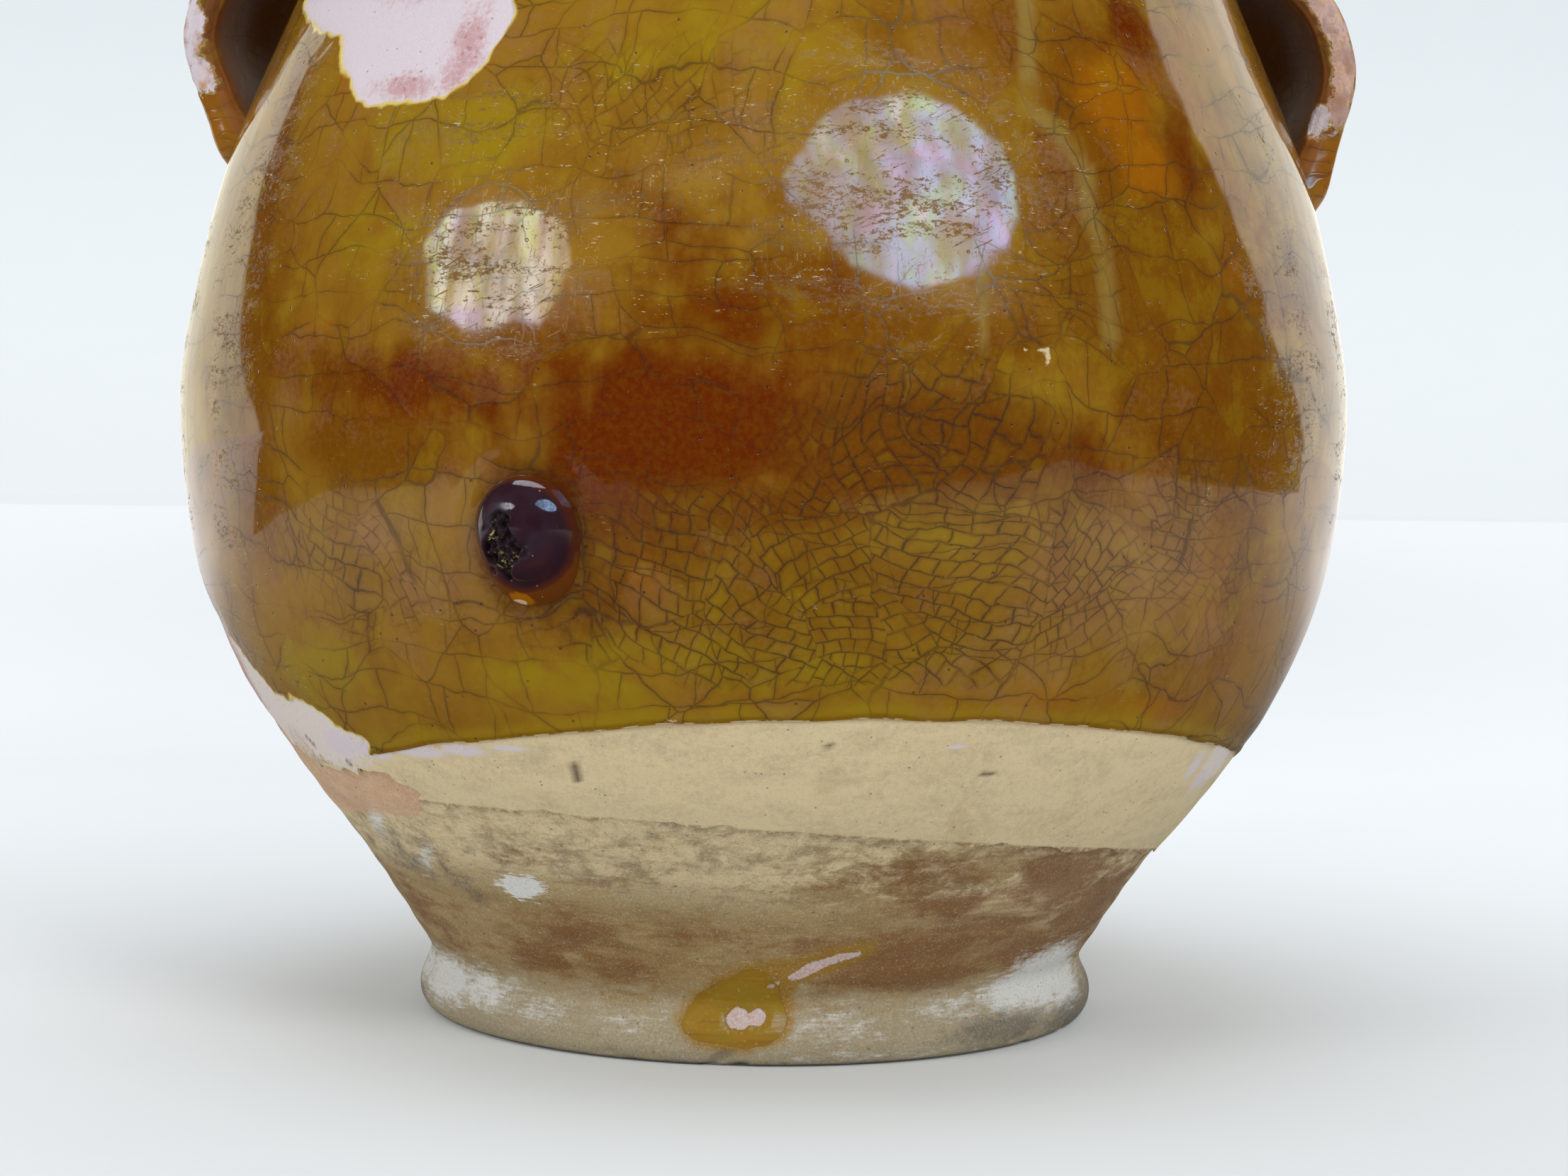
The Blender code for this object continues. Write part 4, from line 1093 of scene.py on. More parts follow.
def handle_finish(colours):
    """The handles' glaze, worn and chipped to the pink clay, with painted shade on the inner faces towards
    the wall.
    """
    strap = Finish("handle_glaze", colours, "olive")
    broad = strap.noise(0.07, 4, 0.6)
    grain = strap.noise(1.1, 3, 0.7)
    mottle = strap.noise(0.35, 3, 0.6)
    patches = strap.noise(0.2, 4, 0.7)
    # The inner faces, towards the wall, take a darker brown as painted shade
    inside = strap.patchy("umber", broad, 0.35, 0.8, 0.4)
    lines, fringe, tint, _ = crazed(strap, strap.step(broad, 0.35, 0.6) * 0.6)
    rubbed = strap.patchy("rubbed", mottle, 0.45, 0.85, 0.8)
    worn = strap.mark("bare") + (patches * 0.6 + mottle * 0.4 - 0.5) * 1.5
    bare = strap.step(worn, 0.46, 0.54)
    edge = strap.step(worn, 0.38, 0.46) - bare
    flesh = colours.clay_pink
    for share, over in (
        (strap.step(grain, 0.35, 0.75) * 0.4, colours.pink),
        (strap.step(patches, 0.42, 0.62) * 0.75, colours.haze),
        (strap.step(mottle, 0.55, 0.7) * 0.5, colours.brown_and_inner_shade),
        (strap.mark("pale") * strap.step(mottle, 0.3, 0.6), colours.lilac),
    ):
        flesh = strap.blend(share, flesh, over)
    strap.lay("brown", strap.step(broad, 0.4, 0.65) * 0.6)
    # Painted shade on the inner faces
    strap.lay("brown_and_inner_shade", inside * 0.9)
    strap.lay("amber", strap.patchy("amber", broad, 0.2, 1.2, 1.6) * 0.6)
    strap.lay("yellow", strap.step(tint, 0.7, 0.9) * 0.2)
    strap.lay("craze", (lines | fringe * 0.5) * 0.5)
    strap.lay("scratch", rubbed * 0.6)
    strap.lay(flesh, bare)
    strap.lay("break_rim", edge * 0.3)
    relief = 0.5 - lines * 0.25 - bare * 1.2 + grain * bare * 0.8 + mottle * 0.1
    shine = 0.14 + bare * 0.5 + rubbed * 0.3 + grain * 0.08 + inside * 0.5
    return strap.done(shine, relief, 0.25, IOR=1.6)


def lump_finish(colours):
    """Nearly black glass, browner where it thins out at its rim, with a rough pit that glitters gold and a
    painted sheen on its upper middle.
    """
    glass = Finish("dark_glaze", colours, "boss")
    grain = glass.noise(1.3, 3, 0.7)
    broad = glass.noise(0.2, 3)
    thin = glass.patchy("thin", broad, 0.15, 1, 0.4)
    pit = glass.patchy("pit", grain, 0.35, 0.6, 0.5)
    gold = glass.step(glass.noise(0.55, 5, 0.8), 0.57, 0.62) * glass.step(broad, 0.42, 0.56)
    bubbles = glass.dots(0.5, 0.12, 0.06) * glass.step(broad, 0.5, 0.6)
    glass.lay("red", glass.step(broad, 0.5, 0.75) * 0.3)
    # Painted sheen, a lighter grey-purple patch on the upper middle of the glass
    glass.lay("painted_sheen", glass.mark("sheen") * glass.step(broad, 0.25, 0.6) * 0.6)
    glass.lay("shadow", thin * 0.9)
    glass.lay("brown", glass.step(thin, 0.85, 1) * 0.4)
    glass.lay("boss", pit * 0.7)
    glass.lay("break_rim", pit * gold * 0.85)
    glass.lay("amber", glass.mark("chip") * 0.9)
    glass.lay("scratch", glass.patchy("sliver", grain, 0.4, 0.6, 0.6))
    glass.lay("scratch", bubbles * 0.5)
    shine = 0.06 + pit * 0.35 + bubbles * 0.3 + grain * 0.03 + glass.mark("dull") * 0.3
    return glass.done(shine, grain * pit * 1.5 - bubbles * 0.5, 0.5, IOR=1.55)


def run_finish(colours):
    """The run of glaze on the foot: yellow amber, browner where it ends."""
    run = Finish("run_glaze", colours, "run")
    rings = run.noise(1, stretch=(0.06, 0.06, 1))
    broad = run.noise(0.14, 3)
    grain = run.noise(1.2, 3)
    run.lay("yellow", run.step(broad, 0.35, 0.65) * 0.5)
    run.lay("brown", run.patchy("edge_mm", broad, 1.6, 0.2, 3) * 0.12)
    run.lay("brown", run.step(rings, 0.55, 0.75) * 0.35)
    run.lay("cream", run.step(grain, 0.6, 0.8) * 0.3)
    return run.done(0.22 + grain * 0.2, rings * 0.6 + grain * 0.3, 0.2, IOR=1.6)


# Pieces, with bands all round to (azimuth, step in degrees) and up the wall to (height mm, step mm)

ALL_ROUND_CLAY = ((-82, 1.8), (-14, 1.0), (18, 0.5), (82, 1.0), (180, 1.8))
ALL_ROUND_SLIP = ((-104, 1.3), (-20, 0.5), (84, 0.9), (180, 1.3))
ALL_ROUND_GLAZE = ((-104, 1.4), (-78, 0.7), (-20, 0.38), (80, 0.75), (180, 1.4))
ALL_ROUND_LINING = ((180, 1.8),)
CLAY_ROWS = ((6, 0.5), (14, 0.8), (62, 0.9), (76, 1.4), (176, 5.0), (230, 4.0), (246, 2.0), (300, 0.6))
SLIP_ROWS = ((74, 0.8), (86, 1.2), (174, 6.0), (220, 1.0), (300, 2.5))
GLAZE_ROWS = ((82, 0.75), (88, 1.2), (176, 2.2), (219, 0.8), (244, 2.0), (300, 0.8))
RUN_ROWS = ((300, 0.3),)
CLAY_RING_PITCH = 6.5
GLAZE_RING_PITCH = 9.5
LINING_RING_PITCH = 8.0
LINING_STEP = 2.0
PIT_DEPTH = 1.5
CHIP_DEPTH = 0.55


def clay_dents(spots, height_mm):
    """How far the clay lies inside its true form, for its throwing rings and unevenness, in millimetres."""
    rings = np.sin(height_mm * 2 * math.pi / CLAY_RING_PITCH + 1.3 * ripple(spots, 60, 3))
    low = smooth_step(height_mm, 3, 14)
    return low * (0.16 + 0.10 * rings + 0.06 * ripple(spots, 22, 5)) + 0.04 + 0.03 * ripple(spots, 9, 7)


def make_body(sizes, colours):
    """The thrown clay, closed all round: underside, foot, wall, rim and inside."""
    side = Side(sizes)
    top = top_height(sizes)
    heights = side.rows(0.0, top - 1e-5, CLAY_ROWS)
    ring_inner = sizes.standing_radius - sizes.ring_width
    under = np.array((
        (0.0, sizes.undercut_depth), (ring_inner * 0.5, sizes.undercut_depth),
        (ring_inner - sizes.undercut_slope, sizes.undercut_depth), (ring_inner, 0.0),
        (sizes.standing_radius - 0.4 * MM, 0.0),
    ))
    outside = np.stack((side.radius_at(heights), heights), 1)
    land = np.array(((land_outer_radius(sizes), top), (land_outer_radius(sizes) - sizes.rim_land_width, top)))
    inside = spaced(inner_profile(sizes)[::-1], 3.5 * MM)
    line = np.vstack((under, outside, land, inside[1:]))
    azimuths = turns(ALL_ROUND_CLAY)
    azimuth = np.tile(azimuths, len(line))
    rows = np.repeat(np.arange(len(line)), len(azimuths))
    outer = (rows >= len(under)) & (rows < len(under) + len(outside) - 12)
    spots = turned(line, azimuths)
    height = np.clip(spots[:, 2], 0, top)
    height_mm = spots[:, 2] / MM
    radius = np.hypot(spots[:, 0], spots[:, 1])
    nicks = np.clip(ripple(spots / MM, 5.5, 21) - 0.75, 0, 1) * smooth_step(height_mm, 5, 0.5) * 2.0
    dents = np.where(outer, clay_dents(spots / MM, height_mm) + nicks, 0.0)
    spots[:, :2] *= (1 - dents * MM / np.maximum(radius, MM))[:, None]
    marks = {
        mark: spread_places(places, azimuth, spots[:, 2], radius) for mark, places in CLAY_PLACES.items()
    }
    lost = outline_distance(SLIP_FLAKE, side, azimuth, height)
    stained = outline_distance(STAIN_OUTLINE, side, azimuth, height)
    chips = nearest(outline_distance, WHITE_CHIPS, side, azimuth, height)
    marks["fresh"] = 1 - smooth_step(lost, -1.0, 1.5)
    marks["wash"] = 1 - smooth_step(slip_line(azimuth) - height_mm, 4, 26) * 0.9
    marks["stained"] = 1 - smooth_step(stained, -2.5, 3.5)
    marks["chip"] = 1 - smooth_step(chips, -0.4, 0.5)
    marks = {mark: np.where(outer, values, 0) for mark, values in marks.items()}
    sooty = np.where(outer, smooth_step(height_mm, 2.2, 0) * 0.8, 0)
    marks["sooty"] = np.where(rows < len(under) + 3, 0.8, 0.0) + sooty
    faces = turned_faces(len(line), len(azimuths))
    made_piece("clay_wall", spots, faces, marks, clay_finish(colours), "thrown_body")


def make_slip(sizes, colours):
    """The slip, ending in its slanting line, with its loss on the left."""
    side = Side(sizes)
    lip = top_height(sizes) - sizes.rim_rise * 0.5
    azimuth, height, faces = sheet(turns(ALL_ROUND_SLIP), side.rows(25 * MM, lip, SLIP_ROWS))
    flat = wall_point(side, azimuth, height, 0) / MM
    way = way_above(slip_line, side, azimuth, height)
    keep = way + 0.9 * ripple(flat, 14, 31) + 0.35 * ripple(flat, 4, 32)
    lost = outline_distance(SLIP_FLAKE, side, azimuth, height) + 0.7 * ripple(flat, 5, 33)
    azimuth, height, faces = cut(azimuth, height, faces, np.minimum(keep, lost))
    way = way_above(slip_line, side, azimuth, height)
    dents = 0.3 * clay_dents(wall_point(side, azimuth, height, 0) / MM, height / MM)
    outer = (sizes.slip_outside / MM - 0.35 * (1 - smooth_step(way, 0, 6)) - dents) * MM
    radius = side.radius_at(height)
    marks = {mark: spread_places(places, azimuth, height, radius) for mark, places in SLIP_PLACES.items()}
    shoulder = outline_distance(SHOULDER_FLAKE, side, azimuth, height)
    scars = nearest(path_distance, SLIP_SCARS, side, azimuth, height)
    marks["lilac"] = np.maximum(1 - smooth_step(shoulder, -0.5, 3.0), marks["lilac"])
    marks["scar"] = 1 - smooth_step(scars, 0.2, 0.7)
    marks["way_mm"] = way
    marks["glaze_mm"] = -way_above(glaze_line, side, azimuth, height)
    inner = sizes.coat_gap * 0.4
    skin = (azimuth, height, faces)
    coat_piece("poured_slip", side, skin, outer, inner, marks, slip_finish(colours), "slip_coat")


def glaze_edges(side, azimuth, height):
    """The way up from the glaze's line and the distance from its losses, both jagged, in millimetres."""
    flat = wall_point(side, azimuth, height, 0) / MM
    way = way_above(glaze_line, side, azimuth, height) + 0.3 * ripple(flat, 16, 41)
    jag = 0.45 * ripple(flat, 3.2, 42) + 0.8 * ripple(flat, 9, 43)
    shoulder = outline_distance(SHOULDER_FLAKE, side, azimuth, height) + jag * 0.7
    return way, np.minimum(shoulder, outline_distance(SIDE_FLAKE, side, azimuth, height) + jag)


def make_outer_glaze(sizes, colours):
    """The outer glaze, ending in its slanting line, with the two losses."""
    side = Side(sizes)
    lip = top_height(sizes) - sizes.rim_rise * 0.52
    azimuth, height, faces = sheet(turns(ALL_ROUND_GLAZE), side.rows(46.5 * MM, lip, GLAZE_ROWS))
    keep = np.minimum(*glaze_edges(side, azimuth, height))
    azimuth, height, faces = cut(azimuth, height, faces, keep)
    way, flake = glaze_edges(side, azimuth, height)
    flat = wall_point(side, azimuth, height, 0) / MM
    radius = side.radius_at(height)
    slip_out = sizes.slip_outside / MM
    full = sizes.glaze_outside / MM - 0.05
    bead = 0.35 * np.exp(-((way - 1.4) / 1.0) ** 2)
    thick = slip_out + 0.12 + (full - slip_out - 0.12) * smooth_step(way, -1.5, 9) + bead * 0.8
    thick = thick - 0.45 * (1 - smooth_step(flake, 0, 7)) * smooth_step(way, 3, 9)
    wavy = 0.04 * (1 + ripple(flat, 34, 44)) + 0.008 * (1 + ripple(flat, 11, 45))
    rings = height / MM * 2 * math.pi / GLAZE_RING_PITCH + 1.6 * ripple(flat, 70, 46)
    lump_x = np.radians(azimuth - math.degrees(sizes.boss_azimuth)) * radius / sizes.boss_width * 2
    lump_z = (height - sizes.boss_height) / sizes.boss_length * 2
    from_lump = (np.hypot(lump_x, lump_z) - 1) * sizes.boss_width / 2 / MM
    trough = 0.22 * np.exp(-((from_lump - 3.4) / 1.5) ** 2) + 0.08 * np.exp(-((from_lump - 8.0) / 2.0) ** 2)
    outer = (np.minimum(thick, full) - wavy - 0.008 * (1 + np.sin(rings)) - trough) * MM
    outer = np.maximum(outer, (slip_out + 0.06) * MM)
    inner = (slip_out - 0.15) * MM
    marks = {mark: spread_places(places, azimuth, height, radius) for mark, places in GLAZE_PLACES.items()}
    marks["crazed"] *= smooth_step(way, 4, 9)
    marks["halo"] = np.exp(-(np.maximum(from_lump, 0) / 2.2) ** 2)
    long, short = (path_distance(path, side, azimuth, height) for path in STREAKS)
    marks["streak"] = 1 - smooth_step(np.minimum(long - 0.8, short), 0.0, 1.8)
    marks["nick"] = 1 - smooth_step(nearest(path_distance, NICKS_AND_GLINTS, side, azimuth, height), 0.2, 1.1)
    marks["flake_mm"] = flake
    marks["line_mm"] = way
    skin = (azimuth, height, faces)
    coat_piece("crazed_glaze", side, skin, outer, inner, marks, glaze_finish(colours), "outer_glaze")


def make_lining(sizes, colours):
    """The glaze inside, closed all round, with its turning spiral."""
    line = spaced(inner_profile(sizes)[:-1], LINING_STEP * MM)
    low = offset(line, sizes.coat_gap)
    face = offset(line, sizes.coat_gap + sizes.lining_thickness)
    low[0, 0] = face[0, 0] = 0
    face[:, 1] = np.minimum(face[:, 1], top_height(sizes) - 0.1 * MM)
    azimuths = turns(ALL_ROUND_LINING)
    ring = np.vstack((low, face[::-1]))
    spots = turned(ring, azimuths)
    azimuth = np.tile(azimuths, len(ring))
    way = np.concatenate((np.zeros(len(low)), np.arange(len(face))[::-1] * LINING_STEP))
    way = np.repeat(way, len(azimuths))
    spiral = np.sin((way / LINING_RING_PITCH - azimuth / 360) * 2 * math.pi)
    depth = np.where(way > 6, 0.14 * spiral + 0.05 * ripple(spots / MM, 20, 51), 0) * MM
    radius = np.hypot(spots[:, 0], spots[:, 1])
    spots[:, :2] *= (1 + np.minimum(depth, 0.2 * MM) / np.maximum(radius, 8 * MM))[:, None]
    marks = {"rim": np.where(way > way.max() - 3, 1.0, 0.0)}
    faces = turned_faces(len(ring), len(azimuths))
    made_piece("glazed_inside", spots, faces, marks, lining_finish(colours), "inner_glaze")


def strap_line(sizes, side, drop, span, gap, steps):
    """The strap's middle line as (radius, height) points, as in the part's source."""
    upper_height = neck_height(sizes) - drop
    lower_height = upper_height - span
    lower = (side.radius_at(lower_height), lower_height)
    upper = (side.radius_at(upper_height), upper_height)
    apex = lower_height + span * STRAP_APEX_SHARE
    reach = side.radius_at(apex) + sizes.glaze_outside + gap + sizes.handle_thickness / 2

    def run(root, shares):
        return [(root[0] + (reach - root[0]) * out, lower_height + span * up) for up, out in shares]

    low_run = run(lower, STRAP_LOWER_SHARES)
    into = np.array(lower) - np.array(low_run[0])
    into *= sizes.handle_root / np.hypot(*into)
    root = (lower[0] + into[0] - sizes.handle_root / 2, lower[1] + into[1])
    end = (upper[0] - sizes.handle_root, upper[1])
    keys = [root, lower, *low_run, (reach, apex), *run(upper, STRAP_UPPER_SHARES), upper, end]
    return curve_through(keys, steps)


def bare_marks(places, station, section):
    """How bare and how pale the strap is at each point, by the place along it and round its section."""
    bare = np.zeros(len(station))
    pale = np.zeros(len(station))
    for at, across, through, half_station, half_across, strength, paleness in places:
        x = (station - at) / half_station
        y = (section[:, 0] - across) / half_across
        z = (section[:, 1] - through) / 0.9
        here = strength * np.exp(-0.9 * (x * x + y * y + z * z))
        pale = np.where(here > bare, paleness, pale)
        bare = np.maximum(bare, here)
    return bare, pale


def make_handle(sizes, name, hand, drop, span, gap, bare_places, finish):
    """One pulled strap, worn on its ridges and chipped."""
    side = Side(sizes)
    line = spaced(strap_line(sizes, side, drop, span, gap, 24), 0.75 * MM)
    section = curve_through(STRAP_SECTION_SHARES, 8, closed=True)
    rings, count = len(line), len(section)
    along = headings(line)
    to_end = np.abs(np.linspace(-1, 1, rings))
    off_wall = line[:, 0] - side.radius_at(line[:, 1]) - sizes.glaze_outside
    flare = 1 - smooth_step(off_wall / MM, -2, 7)
    half_width = sizes.handle_width / 2 * (1 + ROOT_SPREAD_SHARE * to_end**3 + 0.02 * flare)
    half_thick = sizes.handle_thickness / 2 * (1 + ROOT_THICKENING_SHARE * to_end**4 + 0.30 * flare**2)
    across = (section[:, 0][None, :] * half_width[:, None]).ravel()
    through = section[:, 1][None, :] * half_thick[:, None]
    reach = (line[:, 0][:, None] + along[:, 1][:, None] * through).ravel()
    height = (line[:, 1][:, None] - along[:, 0][:, None] * through).ravel()
    local = np.stack((across, reach, height), 1)
    station = np.repeat(np.linspace(0, 1, rings), count)
    where = np.tile(section, (rings, 1))
    middle = np.stack((np.zeros(len(local)), np.repeat(line[:, 0], count), np.repeat(line[:, 1], count)), 1)
    arms = local - middle
    worn = 0.10 * (1 + ripple(local / MM, 7, 61)) + 0.05 * (1 + ripple(local / MM, 2.6, 62))
    bare, pale = bare_marks(bare_places, station, where)
    chip = smooth_step(bare + 0.18 * ripple(local / MM, 3, 63), 0.42, 0.58)
    lengths = np.maximum(np.linalg.norm(arms, axis=1), MM)
    local = middle + arms * (1 - np.minimum((worn + CHIP_DEPTH * chip) * MM / lengths, 0.4))[:, None]
    far = np.hypot(local[:, 0], local[:, 1])
    least = side.radius_at(local[:, 2]) - 2.5 * MM
    local[:, :2] *= np.maximum(1.0, least / np.maximum(far, MM))[:, None]
    rear = where[:, 0] * hand
    fold = smooth_step(rear, 0.1, 0.9) * (where[:, 1] < 0) * np.exp(-((station - 0.55) / 0.25) ** 2)
    inward = np.maximum(0, np.minimum(6.0, off_wall.repeat(count) / MM - 2.5)) * fold
    local[:, 1] -= inward * MM
    spots = local @ placed(hand * math.degrees(sizes.handle_azimuth))
    faces = turned_faces(rings, count)[:, [0, 2, 1]].tolist()
    faces.append(tuple(range(count)))
    faces.append(tuple(range(len(local) - 1, len(local) - count - 1, -1)))
    ridge = np.exp(-((np.abs(where[:, 0]) - 0.86) / 0.14) ** 2) * (where[:, 1] > 0.2)
    marks = {
        "bare": bare,
        "pale": pale,
        "rubbed": ridge * smooth_step(station, 0.25, 0.6),
        # The inner faces, towards the wall, where shade is painted
        "umber": 1 - smooth_step(where[:, 1], -0.5, 0.2),
        "amber": np.exp(-((station - 0.2) / 0.12) ** 2) + 0.6 * np.exp(-((station - 0.85) / 0.1) ** 2),
    }
    made_piece(name + "_strap", spots, faces, marks, finish, name)


def make_handles(sizes, colours):
    """Both straps, with one finish."""
    finish = handle_finish(colours)
    left = (sizes.left_drop, sizes.left_span, sizes.left_gap)
    right = (sizes.right_drop, sizes.right_span, sizes.right_gap)
    make_handle(sizes, "left_handle", -1, *left, LEFT_BARE_PLACES, finish)
    make_handle(sizes, "right_handle", 1, *right, RIGHT_BARE_PLACES, finish)


def make_lump(sizes, colours):
    """The glass lump: a dome on the glaze with a rolled foot and a broken pit."""
    side = Side(sizes)
    count, rings, outer_rings = 144, 64, 24
    turn = np.tile(np.linspace(0, 2 * math.pi, count, endpoint=False), rings)
    inner_shares = np.linspace(0.01, 0.9, rings - outer_rings)
    share = np.concatenate((inner_shares, np.linspace(0.9, 1.05, outer_rings + 1)[1:]))
    share = np.repeat(share, count)
    wobble = 1 - 0.012 * (1 + np.sin(3 * turn + 0.7)) - 0.008 * (1 + np.sin(5 * turn + 2.1))
    across = share * np.cos(turn) * sizes.boss_width / 2 * wobble
    up = share * np.sin(turn) * sizes.boss_length / 2 * wobble
    x, z = across / MM, up / MM
    round_share = np.hypot(across / sizes.boss_width * 2, (up - 2.2 * MM) / sizes.boss_length * 2 * 1.18)
    dome = np.sqrt(np.clip(1 - np.clip(round_share, 0, 1) ** 2, 0, 1))
    shelf = 0.45 * np.clip(1 - np.clip(share, 0, 1) ** 3, 0, 1) ** 0.5
    rise = sizes.boss_standout * np.maximum(dome, shelf)
    flat = np.stack((across, up, rise), 1) / MM
    from_pit = np.hypot(x + 2.6, (z + 0.6) * 0.85)
    pit = smooth_step(from_pit + 1.1 * ripple(flat, 4.0, 71), 4.6, 3.0)
    rise = rise - pit * (PIT_DEPTH + 0.7 * ripple(flat, 1.6, 72)) * MM
    rise = np.where(share > 1, -(share - 1) * 12 * MM, np.maximum(rise, 0.3 * MM * (1 - share)))
    height = sizes.boss_height + up
    wall = side.radius_at(height) + sizes.glaze_outside - 0.1 * MM
    reach = np.sqrt(np.maximum(wall**2 - across**2, 0)) + rise
    spots = np.stack((across, reach, height), 1) @ placed(math.degrees(sizes.boss_azimuth))
    faces = turned_faces(rings, count)[:, ::-1].tolist()
    faces.append(tuple(range(count)))
    from_chip = np.hypot((x + 1.6) / 2.6, (z + 10.2) / 1.2) + 0.2 * ripple(flat, 2, 73)
    from_sliver = np.hypot((x + 2.6 - (z + 11.2) * 0.8) / 2.0, (z + 11.2) / 0.8)
    depth = np.hypot(across / sizes.boss_width * 2 / 1.05, (up / sizes.boss_length * 2 - 0.12) / 0.92)
    marks = {
        "pit": pit,
        "chip": 1 - smooth_step(from_chip, 0.8, 1.1),
        "sliver": 1 - smooth_step(from_sliver, 0.8, 1.1),
        "thin": smooth_step(depth, 0.72, 1.02),
        # Where the painted sheen lies on the lump
        "sheen": np.exp(-(x / 6.5) ** 2 - ((z - 3.0) / 6.0) ** 2),
        "dull": 1 - smooth_step(np.hypot(x + 3.4, z - 4.8), 1.6, 3.4),
    }
    made_piece("dark_lump", spots, faces, marks, lump_finish(colours), "glaze_boss")


def run_edges(side, azimuth, height):
    """Distance in from the foot run's outline and from its chips, in millimetres."""
    flat = wall_point(side, azimuth, height, 0) / MM
    edge = -outline_distance(RUN_OUTLINE, side, azimuth, height) + 0.25 * ripple(flat, 4, 81)
    return edge, nearest(outline_distance, RUN_CHIPS, side, azimuth, height) + 0.15 * ripple(flat, 1.2, 82)


def make_foot_run(sizes, colours):
    """The run of glaze on the front of the foot, with its chips."""
    side = Side(sizes)
    azimuths = np.arange(-13.5, 7.0, 0.26)
    skin = sheet(azimuths, side.rows(2.8 * MM, 21.5 * MM, RUN_ROWS), closed=False)
    skin = cut(*skin, np.minimum(*run_edges(side, *skin[:2])))
    edge, chips = run_edges(side, *skin[:2])
    low = np.clip((14 - skin[1] / MM) / 9, 0, 1)
    outer = (0.05 + 0.30 * smooth_step(np.minimum(edge, chips * 2), 0, 3.5) * (0.4 + 0.6 * low)) * MM
    marks = {"edge_mm": np.minimum(edge, chips * 1.3)}
    coat_piece("foot_run", side, skin, outer, -0.1 * MM, marks, run_finish(colours), "foot_glaze_run")


# Camera, floor and light, with what only the glaze reflects

BOWL_ROWS = (
    (2.0, 0.0), (2.2, 0.012), (2.4, 0.05), (2.6, 0.13), (2.78, 0.27), (2.9, 0.46), (2.97, 0.7), (3.0, 1.0),
    (3.0, 4.0),
)
BOWL_STEPS = 96
TABLE_REACH = 0.9
GROUND_REACH = 3.2
SHINE_OUTLINE = (
    (-0.50, -0.60), (0.86, -0.60), (0.88, 0.55), (1.43, 0.965), (1.40, 1.50), (0.80, 1.90), (-1.20, 1.75),
    (-1.75, 1.00), (-1.64, 0.533), (-0.53, 0.18), (-0.70, -0.10),
)
SOFTBOXES = (
    ("big_softbox", (0.510, -0.925, 0.790), (0.447, 0.230, -0.050), (0.015, 0.161, 0.197), BIG_SOFTBOX_SHARES,
     {"tone": (0.33, 0.56, 1.0), "level": 11.5, "soft": 0.5, "hues": SKIN_HUES, "fade": (300, 560, 0.6)}),
    ("small_softbox", (-0.940, -0.690, 0.600), (0.221, -0.278, 0.052), (0, 0.078, 0.115),
     SMALL_SOFTBOX_SHARES,
     {"tone": (0.84, 0.88, 0.90), "level": 10.0, "soft": 0.7, "hues": PALE_HUES}),
    ("top_softbox", (-0.1, 0.12, 1.50), (0.70, 0, 0), (0, 0.48, 0), BIG_SOFTBOX_SHARES,
     {"tone": (0.95, 0.93, 1.0), "level": 5.0, "soft": 0.3}),
)
SOFT_EDGE_SHARE = 0.84
WALLS = (
    ("left_wall", -181, -108, -130, (1.0, 0.97, 0.80), 1.28),
    ("right_wall", 179, 124, 107, (1.0, 0.98, 0.88), 1.42),
)
WALL_RADIUS = 1.7
WALL_HEIGHT = 1.6
WALL_ROWS = 9
WALL_COLUMNS = 25
WALL_LEAN_RATE = 2.4
WALL_EDGE_WIDTH = 3.5
LAMPS = (
    ("key", (0.60, -1.10, 0.95), 0.55, "key_power", (1.0, 0.98, 0.95)),
    ("fill", (-0.95, -0.75, 0.65), 0.45, "fill_power", (1.0, 0.97, 0.93)),
    ("top", (-0.10, -0.05, 1.60), 1.20, "key_power", (0.97, 0.98, 1.0)),
)
LAMP_AIM = (0, 0, 0.12)


def paper_finish(tone, glow):
    """The paper of floor and backdrop, which glows a little away from the lamps and less towards its top."""
    paper = Finish("paper")
    weave = paper.noise(0.02)
    paper.colour = tone
    paper.lay((1, 1, 1), paper.step(weave, 0.3, 0.7) * 0.03)
    from_lamps = paper.moved(paper.spot, (0, 450, 0))
    way = paper.node("VectorMath", {0: from_lamps}, "Value", operation="LENGTH")
    share = paper.step(way, 280, 780) * 0.62 + paper.step(way, 1000, 2600) * 0.38
    light = paper.blend(share - paper.step(paper.part("Z"), 20, 700) * 0.5, (0, 0, 0), tone)
    return paper.done(0.9, weave, 0.01, **{"Emission Color": light, "Emission Strength": glow})


def glow_finish(name, tone, level, soft=0, hues=(), fade=(), behind=0):
    """Light that only the pot's gloss sees, soft at its edge and fading across where that is given."""
    glow = Finish(name)
    glow.colour = tone
    if soft:
        folds = glow.noise(0.011, 3, stretch=(1, 1, 0.5))
        shown = glow.step(glow.mark("lit") + (folds - 0.5) * 0.5, 0.1, 0.6)
        for low, high, hue in hues:
            glow.lay(hue, glow.step(glow.noise(0.0075, 3), low, high))
        shown = shown * (glow.step(folds, 0.35, 0.65) * soft + (1 - soft))
        glow.colour = glow.blend(shown, (0, 0, 0), glow.colour)
    if fade:
        low, high, least = fade
        across = glow.node("Math", {0: glow.part("X")}, operation="ABSOLUTE")
        share = glow.step(across, low, high) * (1 - least) + least
        if behind:
            share = share * (glow.step(glow.part("Y"), 0, 560) * (1 - behind) + behind)
        glow.colour = glow.blend(share, (0, 0, 0), glow.colour)
    light = glow.node("Emission", {"Color": glow.colour, "Strength": level})
    glow.node("OutputMaterial", {"Surface": light})
    glow.material.cycles.emission_sampling = "NONE"
    return glow.material


def ring_faces(rings, count):
    """Four-sided faces between closed rings of so many points."""
    return [
        (r * count + k, r * count + (k + 1) % count, (r + 1) * count + (k + 1) % count, (r + 1) * count + k)
        for r in range(rings - 1) for k in range(count)
    ]


